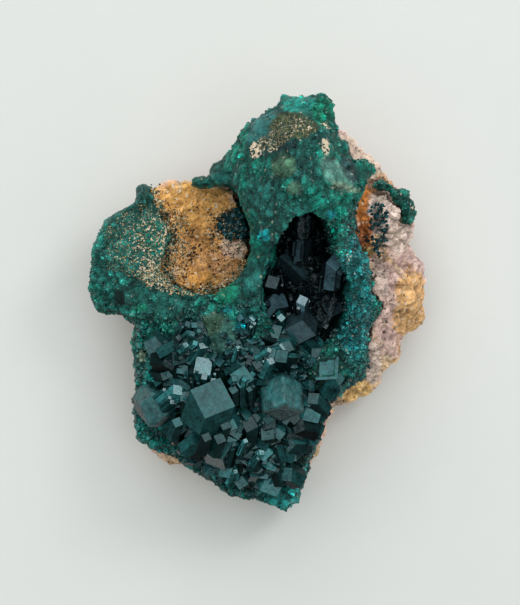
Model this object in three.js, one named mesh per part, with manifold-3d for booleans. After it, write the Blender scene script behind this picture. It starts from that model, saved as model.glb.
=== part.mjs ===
// A hand specimen of dioptase. Blue-green crystals have grown as a thick crust over one side of a
// block of pink and ochre matrix rock. The crust swells into a dome, opens in a deep hollow lined
// with long dark prisms, and runs down into a field of stubby crystals. A bay of bare ochre rock
// lies in the arm at the left, and ledges of matrix stand out at the right.
//
// Millimetres, +Z up. The specimen lies on the flat broken face under its matrix, with its crystals
// up. The origin is on that face, under the middle of the specimen, and +Y runs to the dome.

import * as THREE from 'three';
import { ConvexGeometry } from 'three/addons/geometries/ConvexGeometry.js';
import { mergeVertices } from 'three/addons/utils/BufferGeometryUtils.js';
import Module from 'manifold-3d';

const wasm = await Module();
wasm.setup();

// Driving sizes
const SEAM = 0.4; // gap kept between two pieces that touch
const CRUST_ROUGHNESS = 0.5; // how far the crust's surface stands out and sinks in
const ROCK_ROUGHNESS = 1.1; // the same on the broken rock
const ROUGHNESS_GRAIN = 2.3; // size of that unevenness
const LUMP_DETAIL = { large: 2, small: 1 }; // how often a lump's ball is divided
const FACE_SHARE = 0.76; // share of a sheet's triangles that goes to its face
const BLOCK = { width: 80, depth: 40 }; // the block that cuts the resting face
const CUT_HEIGHT = 60; // height of the prism that opens the crust over the bare arm

// Shape of a dioptase crystal, for a prism whose corners are 1 from its axis: each of the three end
// faces drops this much from the tip to its two near corners, and twice as much to its far corner.
const END_FACE_DROP = 0.617;

// The crust and the rock are each a sheet spread from the middle of the specimen out to an edge and
// back under it. edge is the outline seen from above, as x and y, turning left from the top of the
// dome. heights are heights of the face at places over it, each as x, y, height and how far around
// it that height reaches. edgeHeight and underside are shares of the face's height. faceRounding
// and underRounding say how square the sheet turns over at its edge: 2 is round. detail is how often
// the ball that it is spread from is divided.
const CRUST = {
  edge: [
    [6.2, 28.3], [4.4, 27.8], [3.2, 26.8], [1.8, 25.6], [-0.8, 24.8], [-2.6, 23.4], [-3.2, 21.2],
    [-3.8, 19.4], [-5.8, 18.8], [-7.2, 17.6], [-9.2, 16.6], [-12.0, 16.2], [-14.6, 16.2],
    [-15.8, 14.4], [-16.4, 13.2], [-18.8, 12.9], [-20.8, 11.6], [-21.6, 9.6], [-22.1, 7.4],
    [-22.7, 4.8], [-23.0, 2.2], [-22.6, 0.3], [-21.4, -1.2], [-18.4, -1.8], [-16.6, -2.4],
    [-16.8, -4.2], [-17.1, -6.2], [-16.8, -8.6], [-16.6, -10.6], [-16.2, -11.8], [-16.8, -13.4],
    [-16.6, -15.6], [-16.8, -17.4], [-16.2, -19.0], [-14.4, -20.0], [-11.6, -20.8], [-9.8, -22.4],
    [-7.2, -24.0], [-5.0, -25.6], [-2.0, -26.8], [0.8, -27.0], [3.2, -28.4], [5.0, -28.9],
    [6.2, -28.0], [6.6, -26.2], [6.3, -24.2], [7.2, -22.2], [8.0, -20.2], [8.2, -18.2],
    [8.8, -16.6], [9.2, -14.6], [11.0, -12.8], [12.4, -11.2], [14.6, -9.8], [15.0, -6.6],
    [14.9, -3.4], [16.2, -1.6], [16.5, 0.6], [15.2, 1.6], [15.3, 5.8], [13.4, 8.0],
    [12.9, 11.4], [13.9, 15.0], [15.4, 16.6], [15.0, 18.2], [11.8, 19.6], [10.4, 22.2],
    [10.4, 25.0], [9.8, 26.8], [8.2, 27.8],
  ],
  heights: [
    [5.4, 20.0, 31.0, 3.4], [6.0, 14.4, 31.4, 3.2], [6.2, 26.0, 26.5, 2.4], [-0.8, 21.0, 25.5, 2.6],
    [-0.4, 13.8, 26.0, 2.6], [11.2, 18.6, 27.0, 2.6], [11.6, 12.4, 27.6, 2.6],
    [5.8, 10.0, 28.4, 2.4], [-6.4, 16.4, 16.4, 2.2], [-14.6, 13.6, 15.0, 2.6],
    [-18.6, 7.6, 17.4, 3.0], [-20.6, 1.2, 12.4, 2.0], [-9.0, 9.4, 16.0, 3.6],
    [-14.8, 1.8, 16.6, 2.6], [-9.6, 0.2, 18.4, 2.4], [-5.2, -2.6, 22.6, 2.2],
    [-1.8, -5.4, 20.8, 2.2], [-0.6, 3.6, 22.8, 2.4], [13.4, 6.4, 24.6, 2.6],
    [13.8, 0.4, 22.4, 2.6], [13.0, -6.4, 19.6, 2.6], [6.4, 1.6, 23.0, 2.6],
    [-13.4, -6.6, 14.6, 2.8], [-7.6, -7.0, 18.2, 2.6], [0.8, -10.4, 18.8, 3.2],
    [8.8, -9.6, 17.6, 2.6], [-12.8, -13.8, 12.4, 2.8], [-4.8, -15.0, 16.8, 3.0],
    [5.4, -16.4, 14.6, 3.0], [-10.6, -18.6, 9.4, 2.6], [-1.6, -22.0, 11.6, 2.8],
    [4.2, -26.0, 7.8, 2.4],
  ],
  detail: 10,
  edgeHeight: 0.56,
  underside: 0.38,
  faceRounding: 4.4,
  underRounding: 2.6,
};

const ROCK = {
  edge: [
    [7.0, 25.0], [3.2, 23.6], [0.0, 20.8], [-1.6, 17.8], [-4.6, 16.6], [-8.4, 16.3],
    [-11.4, 16.4], [-14.0, 16.4], [-14.8, 13.8], [-17.4, 11.0], [-19.6, 7.8], [-19.8, 3.2],
    [-18.4, 0.4], [-14.8, -2.4], [-15.8, -7.0], [-15.0, -11.0], [-15.2, -17.6], [-15.2, -20.2],
    [-13.4, -21.8], [-10.6, -22.2], [-6.2, -23.2], [-0.8, -24.2], [3.0, -24.6], [5.6, -23.6],
    [7.4, -22.8], [8.9, -20.8], [9.3, -17.6], [9.2, -15.2], [10.8, -13.6], [12.4, -12.9],
    [14.0, -12.8], [15.4, -12.2], [16.7, -10.8], [17.6, -9.6], [18.2, -7.8], [20.0, -6.8],
    [20.6, -5.2], [20.6, -4.0], [22.2, -2.8], [23.1, -0.6], [22.9, 1.2], [22.7, 3.4],
    [22.7, 5.4], [21.2, 7.2], [19.9, 8.6], [20.4, 10.2], [21.2, 11.2], [21.4, 12.8],
    [20.4, 15.2], [18.8, 16.2], [17.0, 17.4], [16.0, 19.2], [14.8, 21.2], [12.4, 23.0],
    [10.6, 24.2],
  ],
  heights: [
    [13.0, 20.6, 15.5, 2.2], [15.8, 18.4, 13.6, 2.0], [18.2, 14.0, 17.0, 1.8],
    [17.4, 9.4, 15.4, 1.6], [14.2, 11.2, 14.6, 1.8], [18.6, 6.4, 11.6, 1.4],
    [19.6, 2.4, 13.6, 1.8], [16.8, 0.8, 15.6, 1.8], [21.0, -0.8, 10.4, 1.6],
    [15.6, -5.2, 13.6, 1.8], [18.4, -4.6, 9.6, 1.4], [15.2, -9.6, 10.4, 1.6],
    [12.4, -12.2, 8.4, 1.8], [8.6, -18.4, 7.0, 2.4], [-12.4, -20.4, 5.6, 2.2],
    [-15.0, -7.0, 9.0, 1.8], [-14.0, 15.6, 15.6, 1.8], [-8.6, 15.0, 15.4, 2.4],
    [-3.6, 14.8, 15.8, 2.0], [-12.0, 10.8, 15.4, 1.6], [-12.0, 5.6, 15.4, 1.8], [-7.4, 9.4, 12.8, 2.6],
    [-2.4, 8.4, 14.2, 2.2], [-8.6, 2.8, 15.2, 1.8], [-4.6, 3.4, 15.2, 2.0],
    [-16.4, 6.0, 10.0, 3.2], [4.0, 19.0, 16.0, 5.0], [6.0, 4.0, 10.0, 4.6],
    [-4.0, -6.0, 11.0, 4.6], [0.0, -16.0, 8.0, 5.0],
  ],
  detail: 8,
  edgeHeight: 0.5,
  underside: -0.12,
  faceRounding: 3.4,
  underRounding: 2.2,
};

// Lobes that stand out from the crust's edge: on the foot of the arm, round the bare rock, on the
// right shoulder of the dome and along its top
const LOBES = [
  { at: [-20.1, 0.4, 9.4], size: [2.3, 2.1, 3.4] },
  { at: [-18.2, 0.2, 8.8], size: [1.9, 1.9, 3.0] },
  { at: [-15.1, 14.0, 13.0], size: [1.2, 2.4, 3.0] },
  { at: [-7.3, 16.0, 15.0], size: [1.6, 0.9, 1.9] },
  { at: [-4.7, 17.0, 16.4], size: [1.7, 1.7, 2.6] },
  { at: [13.6, 17.2, 21.0], size: [1.8, 1.9, 2.8] },
  { at: [11.2, 20.4, 20.6], size: [1.1, 1.2, 2.4] },
  { at: [8.2, 25.8, 21.6], size: [1.8, 1.6, 3.0] },
  { at: [4.6, 26.0, 20.8], size: [2.0, 1.6, 3.0] },
];

// Where the arm has no crust and its rock shows: an outline seen from above
const BARE_ARM = [
  [-14.1, 19.0], [-14.0, 15.0], [-13.2, 12.8], [-12.1, 10.8], [-11.2, 9.0], [-12.0, 6.6],
  [-12.9, 4.6], [-12.0, 3.0], [-8.4, 1.2], [-5.4, 1.3], [-3.0, 2.9], [-1.4, 5.0], [-0.8, 7.0],
  [-1.0, 10.0], [-1.9, 12.6], [-2.6, 14.4], [-3.4, 15.6], [-5.6, 15.8], [-6.4, 19.0],
];

// The small patch of dioptase on the pink knob, clear of the main crust
const PATCH_LUMPS = [
  { at: [16.8, 15.7, 13.2], size: [1.9, 1.0, 2.4] },
  { at: [19.0, 14.5, 12.5], size: [1.7, 1.4, 2.7] },
  { at: [20.2, 12.4, 11.6], size: [1.3, 2.0, 2.6] },
];

// The hollow under the dome: an arched head and a wider foot. Its crystals' bed lies under the same
// two lumps moved up by a bed's thickness.
const HOLLOW = [
  { at: [6.0, 7.4, 22.6], size: [3.9, 5.6, 9.6], turn: -8 },
  { at: [6.5, 0.8, 22.0], size: [5.6, 7.6, 10.4], turn: 6 },
];
const BED_THICKNESS = 2.4;
const BED_RIM = 16.6; // height of the bed's rim on the hollow's wall

// Crystals: the middle of the pointed end, the corner radius, the length, how far the axis leans
// from upright and towards which side (0 is +X, 90 is +Y), and the spin about the axis, all angles
// in degrees. At a lean near 50 and no spin one rhombic end face looks straight up.
const HOLLOW_CRYSTALS = [
  { at: [5.7, 9.6, 17.5], radius: 2.6, length: 9, lean: 24, towards: 262, spin: 20 },
  { at: [5.6, 5.5, 17.3], radius: 1.5, length: 8, lean: 109, towards: 265, spin: 104 },
  { at: [3.5, 5.8, 16.9], radius: 1.4, length: 8, lean: 59, towards: 137, spin: 59 },
  { at: [10.4, 6.5, 17.9], radius: 1.55, length: 7, lean: 39, towards: 102, spin: 111 },
  { at: [10.6, 4.5, 16.8], radius: 1.5, length: 7, lean: 22, towards: 116, spin: 89 },
  { at: [5.9, 0.9, 17.0], radius: 1.2, length: 6, lean: 45, towards: 115, spin: 113 },
  { at: [3.2, 2.4, 16.7], radius: 1.6, length: 7, lean: 30, towards: 320, spin: 12 },
  { at: [8.4, 3.0, 14.7], radius: 1.7, length: 7, lean: 30, towards: 200, spin: 12 },
  { at: [9.8, -1.3, 15.3], radius: 2.0, length: 7, lean: 26, towards: 250, spin: 5 },
  { at: [11.4, -4.8, 17.6], radius: 0.95, length: 5, lean: 60, towards: 82, spin: 116 },
  { at: [9.0, -5.4, 16.1], radius: 1.6, length: 6, lean: 30, towards: 150, spin: 15 },
  { at: [7.1, 2.4, 14.2], radius: 1.4, length: 6, lean: 20, towards: 100, spin: 50 },
  { at: [5.9, -2.6, 18.2], radius: 2.4, length: 7, lean: 20, towards: 80, spin: 0 },
  { at: [1.7, 3.3, 20.0], radius: 1.35, length: 6, lean: 39, towards: 112, spin: 11 },
  { at: [2.9, 0.8, 18.2], radius: 1.7, length: 6, lean: 84, towards: 50, spin: 25 },
];

const FIELD_CRYSTALS = [
  { at: [-6.2, -13.2, 19.7], radius: 2.9, length: 9.5, lean: 20, towards: 15, spin: 0 },
  { at: [3.4, -12.6, 19.7], radius: 3.4, length: 6, lean: 12, towards: 300, spin: 30 },
  { at: [9.7, -8.9, 18.1], radius: 2.5, length: 7.0, lean: 59, towards: 314, spin: 2 },
  { at: [-7.6, -7.8, 18.7], radius: 1.95, length: 6.5, lean: 57, towards: 103, spin: 37 },
  { at: [-8.7, -6.9, 17.6], radius: 1.2, length: 6.5, lean: 45, towards: 20, spin: 0 },
  { at: [-8.7, -4.3, 19.4], radius: 2.1, length: 5.5, lean: 22, towards: 100, spin: 20 },
  { at: [-7.0, -5.1, 19.1], radius: 1.1, length: 6.5, lean: 60, towards: 63, spin: 114 },
  { at: [-13.7, -5.5, 15.1], radius: 2.5, length: 5.5, lean: 64, towards: 163, spin: 115 },
  { at: [-12.4, -14.3, 14.9], radius: 2.9, length: 6.0, lean: 25, towards: 319, spin: 32 },
  { at: [-9.1, -17.0, 13.8], radius: 1.5, length: 4, lean: 84, towards: 237, spin: 32 },
  { at: [-4.8, -19.9, 16.7], radius: 2.45, length: 6, lean: 26, towards: 298, spin: 110 },
  { at: [-3.9, -22.5, 14.3], radius: 1.3, length: 4.5, lean: 58, towards: 295, spin: 9 },
  { at: [-3.6, -16.3, 17.8], radius: 1.15, length: 4, lean: 50, towards: 253, spin: 115 },
  { at: [-1.7, -8.9, 20.1], radius: 1.9, length: 6.5, lean: 50, towards: 90, spin: 104 },
  { at: [-2.8, -12.4, 17.4], radius: 1.3, length: 4, lean: 81, towards: 263, spin: 90 },
  { at: [2.4, -4.1, 18.9], radius: 1.5, length: 5, lean: 45, towards: 313, spin: 100 },
  { at: [3.5, -5.3, 19.2], radius: 1.0, length: 4, lean: 52, towards: 75, spin: 7 },
  { at: [-0.1, -7.2, 19.3], radius: 1.2, length: 4, lean: 56, towards: 162, spin: 14 },
  { at: [0.9, -20.1, 15.0], radius: 1.45, length: 5, lean: 59, towards: 270, spin: 0 },
  { at: [-0.7, -22.8, 13.7], radius: 1.0, length: 4, lean: 18, towards: 214, spin: 18 },
  { at: [2.2, -24.7, 11.7], radius: 2.1, length: 5, lean: 59, towards: 291, spin: 118 },
  { at: [-2.2, -24.1, 12.1], radius: 1.2, length: 4, lean: 59, towards: 258, spin: 3 },
  { at: [4.2, -26.5, 8.1], radius: 1.9, length: 7, lean: 66, towards: 276, spin: 30 },
  { at: [4.3, -28.0, 8.3], radius: 0.5, length: 4.2, lean: 78, towards: 332, spin: 10 },
  { at: [7.5, -14.9, 15.8], radius: 1.9, length: 5, lean: 62, towards: 304, spin: 113 },
  { at: [8.0, -18.0, 13.2], radius: 1.6, length: 5, lean: 82, towards: 337, spin: 104 },
  { at: [-10.8, -11.6, 16.7], radius: 1.2, length: 6.5, lean: 44, towards: 30, spin: 0 },
  { at: [-11.7, -10.5, 15.7], radius: 1.4, length: 4, lean: 68, towards: 202, spin: 34 },
  { at: [10.5, -9.5, 17.3], radius: 1.1, length: 6.5, lean: 64, towards: 60, spin: 53 },
  { at: [-1.2, 2.2, 20.5], radius: 1.65, length: 5, lean: 65, towards: 73, spin: 4 },
  { at: [-0.2, 1.6, 20.5], radius: 1.1, length: 4, lean: 69, towards: 46, spin: 28 },
  { at: [1.2, 4.8, 20.3], radius: 1.0, length: 4, lean: 31, towards: 20, spin: 0 },
  { at: [-1.5, -18.6, 16.1], radius: 1.4, length: 4, lean: 10, towards: 215, spin: 48 },
  { at: [3.0, -17.5, 16.0], radius: 1.1, length: 4, lean: 53, towards: 272, spin: 12 },
  { at: [5.1, -17.9, 14.1], radius: 1.9, length: 5, lean: 89, towards: 295, spin: 13 },
  { at: [-14.4, -9.4, 14.1], radius: 1.3, length: 4, lean: 61, towards: 181, spin: 34 },
  { at: [-11.3, -19.4, 11.2], radius: 1.2, length: 4, lean: 76, towards: 236, spin: 9 },
  { at: [-7.9, -20.3, 12.2], radius: 1.0, length: 4, lean: 73, towards: 239, spin: 24 },
  { at: [-3.8, -25.4, 10.3], radius: 1.1, length: 4, lean: 80, towards: 256, spin: 10 },
  { at: [6.3, -21.2, 11.0], radius: 1.2, length: 4, lean: 81, towards: 322, spin: 115 },
  { at: [5.4, -23.4, 10.3], radius: 1.1, length: 4, lean: 83, towards: 307, spin: 103 },
  { at: [-7.0, -17.6, 15.2], radius: 0.9, length: 3.5, lean: 76, towards: 234, spin: 111 },
  { at: [0.8, -18.0, 15.7], radius: 0.9, length: 3.5, lean: 36, towards: 273, spin: 9 },
  { at: [2.0, -21.9, 14.1], radius: 1.1, length: 5.0, lean: 52, towards: 324, spin: 81 },
  { at: [-1.2, -20.3, 14.7], radius: 0.9, length: 4.0, lean: 52, towards: 220, spin: 105 },
  { at: [-1.5, -15.0, 17.1], radius: 1.1, length: 4, lean: 37, towards: 289, spin: 81 },
  { at: [-10.1, -9.5, 16.7], radius: 0.9, length: 3.5, lean: 47, towards: 173, spin: 40 },
];

const MATERIALS = {
  rock: { color: 0xc29a78, roughness: 0.95, metalness: 0 },
  crust: { color: 0x1f7064, roughness: 0.6, metalness: 0 },
  darkCrystal: { color: 0x0c2a2c, roughness: 0.15, metalness: 0 },
};

// A repeatable number from 0 to 1 for a point of a whole-number grid
function gridValue(ix, iy, iz) {
  const mixed = Math.sin(ix * 127.1 + iy * 311.7 + iz * 74.7) * 43758.5453;
  return mixed - Math.floor(mixed);
}

// Smooth noise from -1 to 1 at a point of space
function noise(x, y, z) {
  const cell = [Math.floor(x), Math.floor(y), Math.floor(z)];
  const inCell = [x - cell[0], y - cell[1], z - cell[2]].map((t) => t * t * (3 - 2 * t));
  let sum = 0;
  for (let corner = 0; corner < 8; corner += 1) {
    const step = [corner & 1, (corner >> 1) & 1, (corner >> 2) & 1];
    const weight = step.reduce((w, s, i) => w * (s ? inCell[i] : 1 - inCell[i]), 1);
    sum += weight * gridValue(cell[0] + step[0], cell[1] + step[1], cell[2] + step[2]);
  }
  return 2 * sum - 1;
}

// The closed solid of a geometry, with its shared vertices merged
function solidOf(geometry) {
  const bare = geometry.index ? geometry.toNonIndexed() : geometry.clone();
  bare.deleteAttribute('normal');
  bare.deleteAttribute('uv');
  const merged = mergeVertices(bare, 1e-4);
  return new wasm.Manifold(
    new wasm.Mesh({
      numProp: 3,
      vertProperties: new Float32Array(merged.attributes.position.array),
      triVerts: new Uint32Array(merged.index.array),
    }),
  );
}

// A rounded lump with an uneven surface. grow moves its whole surface out.
function lump({ at, size, turn = 0 }, detail, roughness, grow = 0) {
  const ball = new THREE.IcosahedronGeometry(1, detail);
  const place = ball.attributes.position;
  const upright = new THREE.Vector3(0, 0, 1);
  const angle = THREE.MathUtils.degToRad(turn);
  const centre = new THREE.Vector3(...at);
  const halfSize = new THREE.Vector3(...size);
  for (let i = 0; i < place.count; i += 1) {
    const outward = new THREE.Vector3().fromBufferAttribute(place, i);
    const point = outward.clone().multiply(halfSize).applyAxisAngle(upright, angle).add(centre);
    const normal = outward.divide(halfSize).applyAxisAngle(upright, angle).normalize();
    const rise = noise(...point.clone().divideScalar(ROUGHNESS_GRAIN).toArray());
    point.addScaledVector(normal, roughness * rise + grow);
    place.setXYZ(i, ...point.toArray());
  }
  return solidOf(ball);
}

// Distance from the middle to a sheet's edge in a direction, between the corners of its outline
function edgeReach(corners, angle) {
  const fullTurn = 2 * Math.PI;
  const turnFrom = (corner) => (angle - corner.angle + fullTurn) % fullTurn;
  const last = corners.reduce((best, corner) => (turnFrom(corner) < turnFrom(best) ? corner : best));
  const next = corners[(corners.indexOf(last) + 1) % corners.length];
  const span = (next.angle - last.angle + fullTurn) % fullTurn;
  return THREE.MathUtils.lerp(last.reach, next.reach, turnFrom(last) / span);
}

// Height of a sheet's face, blended from the heights given around a place
function faceHeight(heights, x, y) {
  let weighed = 0;
  let weights = 0;
  heights.forEach(([spotX, spotY, height, reach]) => {
    const weight = Math.exp(-0.5 * ((x - spotX) ** 2 + (y - spotY) ** 2) / reach ** 2) + 1e-9;
    weighed += weight * height;
    weights += weight;
  });
  return weighed / weights;
}

// A ball whose upper part is spread over the sheet's face out to its edge, and whose lower part runs
// back under it. grow moves its whole surface out.
function sheet(form, roughness, grow = 0) {
  const corners = form.edge.map(([x, y]) => ({ angle: Math.atan2(y, x), reach: Math.hypot(x, y) }));
  const ball = new THREE.IcosahedronGeometry(1, form.detail);
  const place = ball.attributes.position;
  for (let i = 0; i < place.count; i += 1) {
    const outward = new THREE.Vector3().fromBufferAttribute(place, i).normalize();
    const fromTop = (1 - outward.z) / 2;
    const onFace = fromTop <= FACE_SHARE;
    const share = Math.sqrt(onFace ? fromTop / FACE_SHARE : (1 - fromTop) / (1 - FACE_SHARE));
    const angle = Math.atan2(outward.y, outward.x);
    const reach = share * edgeReach(corners, angle);
    const x = reach * Math.cos(angle);
    const y = reach * Math.sin(angle);
    const face = faceHeight(form.heights, x, y);
    const rounding = onFace ? form.faceRounding : form.underRounding;
    const flatness = (1 - share ** rounding) ** (1 / rounding);
    const middle = onFace ? face : face * form.underside;
    const point = new THREE.Vector3(x, y, THREE.MathUtils.lerp(face * form.edgeHeight, middle, flatness));
    const normal = new THREE.Vector3(
      share ** rounding * Math.cos(angle),
      share ** rounding * Math.sin(angle),
      onFace ? flatness : -flatness,
    ).normalize();
    const rise = noise(...point.clone().divideScalar(ROUGHNESS_GRAIN).toArray());
    point.addScaledVector(normal, roughness * rise + grow);
    place.setXYZ(i, ...point.toArray());
  }
  return solidOf(ball);
}

function union(solids) {
  return solids.reduce((all, next) => all.add(next));
}

function lumps(list, detail, roughness, grow = 0) {
  return union(list.map((one) => lump(one, detail, roughness, grow)));
}

// The largest body of a solid, without the slivers and pinholes that a cut can leave
function oneBody(solid) {
  return solid.decompose().reduce((best, next) => (next.volume() > best.volume() ? next : best));
}

// A six-sided prism ended by three rhombic faces
function crystal({ at, radius, length, lean, towards, spin }, grow = 0) {
  const corner = radius + grow;
  const tip = radius * END_FACE_DROP + grow;
  const points = [new THREE.Vector3(0, 0, tip)];
  for (let side = 0; side < 6; side += 1) {
    const angle = (side * Math.PI) / 3;
    const drop = (side % 2 ? 2 : 1) * END_FACE_DROP * corner;
    const x = corner * Math.cos(angle);
    const y = corner * Math.sin(angle);
    points.push(new THREE.Vector3(x, y, tip - drop), new THREE.Vector3(x, y, -length - grow));
  }
  return solidOf(
    new ConvexGeometry(points)
      .rotateZ(THREE.MathUtils.degToRad(spin))
      .rotateY(THREE.MathUtils.degToRad(lean))
      .rotateZ(THREE.MathUtils.degToRad(towards))
      .translate(...at),
  );
}

// A prism over an outline seen from above
function prismOver(outline, grow = 0) {
  const shape = new THREE.Shape(outline.map(([x, y]) => new THREE.Vector2(x, y)));
  const bevel = { bevelEnabled: grow !== 0, bevelSize: grow, bevelThickness: 0.1, bevelSegments: 1 };
  return solidOf(new THREE.ExtrudeGeometry(shape, { depth: CUT_HEIGHT, ...bevel }));
}

function meshOf(name, solid, material) {
  const made = solid.getMesh();
  const geometry = new THREE.BufferGeometry();
  geometry.setAttribute('position', new THREE.BufferAttribute(made.vertProperties, 3));
  geometry.setIndex(new THREE.BufferAttribute(made.triVerts, 1));
  const mesh = new THREE.Mesh(geometry, new THREE.MeshStandardMaterial(material));
  mesh.name = name;
  return mesh;
}

// A block wider than the specimen, with its top at a height
function blockUnder(height) {
  const middle = height - BLOCK.depth / 2;
  return solidOf(new THREE.BoxGeometry(BLOCK.width, BLOCK.width, BLOCK.depth).translate(0, 0, middle));
}

// The crust with its lobes and the field's crystals fused to it, grown by a gap
function wholeCrust(grow = 0) {
  return sheet(CRUST, CRUST_ROUGHNESS, grow)
    .subtract(prismOver(BARE_ARM, -grow))
    .add(lumps(LOBES, LUMP_DETAIL.small, CRUST_ROUGHNESS, grow))
    .add(union(FIELD_CRYSTALS.map((one) => crystal(one, grow))));
}

const crust = oneBody(wholeCrust().subtract(lumps(HOLLOW, LUMP_DETAIL.large, CRUST_ROUGHNESS)));
const patch = lumps(PATCH_LUMPS, LUMP_DETAIL.small, CRUST_ROUGHNESS);
const patchRoom = lumps(PATCH_LUMPS, LUMP_DETAIL.small, CRUST_ROUGHNESS, SEAM);

const rock = oneBody(
  sheet(ROCK, ROCK_ROUGHNESS).subtract(wholeCrust(SEAM)).subtract(patchRoom).subtract(blockUnder(0)),
);

// The hollow's prisms stand on a bed that lines its floor, clear of the crust by the seam
const hollowRoom = lumps(HOLLOW, LUMP_DETAIL.large, CRUST_ROUGHNESS, -SEAM);
const bed = hollowRoom
  .subtract(hollowRoom.translate([0, 0, BED_THICKNESS]))
  .intersect(blockUnder(BED_RIM));
const hollowCrystals = oneBody(
  union(HOLLOW_CRYSTALS.map((one) => crystal(one)))
    .add(bed)
    .intersect(hollowRoom),
);

const specimen = new THREE.Group();
specimen.add(
  meshOf('matrix_rock', rock, MATERIALS.rock),
  meshOf('dioptase_crust', crust, MATERIALS.crust),
  meshOf('hollow_crystals', hollowCrystals, MATERIALS.darkCrystal),
  meshOf('edge_dioptase', patch, MATERIALS.crust),
);

export default specimen;
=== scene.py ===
"""Dioptase on its matrix: a green crystal crust with a dark hollow, standing on granular rock."""

import math
from itertools import product

import bpy
import numpy as np
from mathutils import Matrix, Vector
from mathutils.kdtree import KDTree


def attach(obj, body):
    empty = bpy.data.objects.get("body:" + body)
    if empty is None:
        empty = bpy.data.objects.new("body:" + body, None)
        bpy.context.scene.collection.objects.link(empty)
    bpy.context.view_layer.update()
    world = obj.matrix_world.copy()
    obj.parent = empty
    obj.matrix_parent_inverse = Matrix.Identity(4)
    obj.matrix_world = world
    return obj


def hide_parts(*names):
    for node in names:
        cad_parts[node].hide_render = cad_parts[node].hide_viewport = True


bl_info = {
    "name": "Dioptase specimen",
    "version": (1, 0, 0),
    "blender": (4, 5, 0),
    "location": "View3D > Sidebar > Specimen",
    "description": "Builds a dioptase crystal specimen over its packed frame",
    "category": "Object",
}

MM = 0.001
BODY = "root"

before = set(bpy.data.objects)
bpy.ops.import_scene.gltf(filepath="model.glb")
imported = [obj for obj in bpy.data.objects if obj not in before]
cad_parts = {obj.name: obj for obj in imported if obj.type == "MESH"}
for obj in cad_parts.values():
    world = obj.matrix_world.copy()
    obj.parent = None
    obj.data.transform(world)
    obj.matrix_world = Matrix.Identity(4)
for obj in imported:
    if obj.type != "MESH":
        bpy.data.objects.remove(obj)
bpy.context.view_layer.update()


def tone(red, green, blue):
    """A screen colour, 0 to 255, as the linear colour that Blender's materials use."""
    return tuple(
        c / 12.92 if c <= 0.04045 else ((c + 0.055) / 1.055) ** 2.4
        for c in (red / 255, green / 255, blue / 255)
    )


EMERALD = tone(10, 150, 116)
SEA = tone(52, 120, 118)
MOSS = tone(44, 142, 84)
CYAN = tone(0, 172, 184)
DULL = tone(90, 122, 100)
OLIVE = tone(88, 88, 46)
PALE = tone(150, 174, 150)
SLATE = tone(66, 88, 96)
INK = tone(10, 44, 50)
CREAM = tone(232, 212, 184)
GOLD = tone(196, 168, 104)
OCHRE = tone(246, 184, 98)
ORANGE = tone(226, 136, 56)
RUST = tone(190, 108, 50)
TAN = tone(240, 204, 158)
PINK = tone(248, 224, 210)
MAUVE = tone(244, 208, 198)

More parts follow.
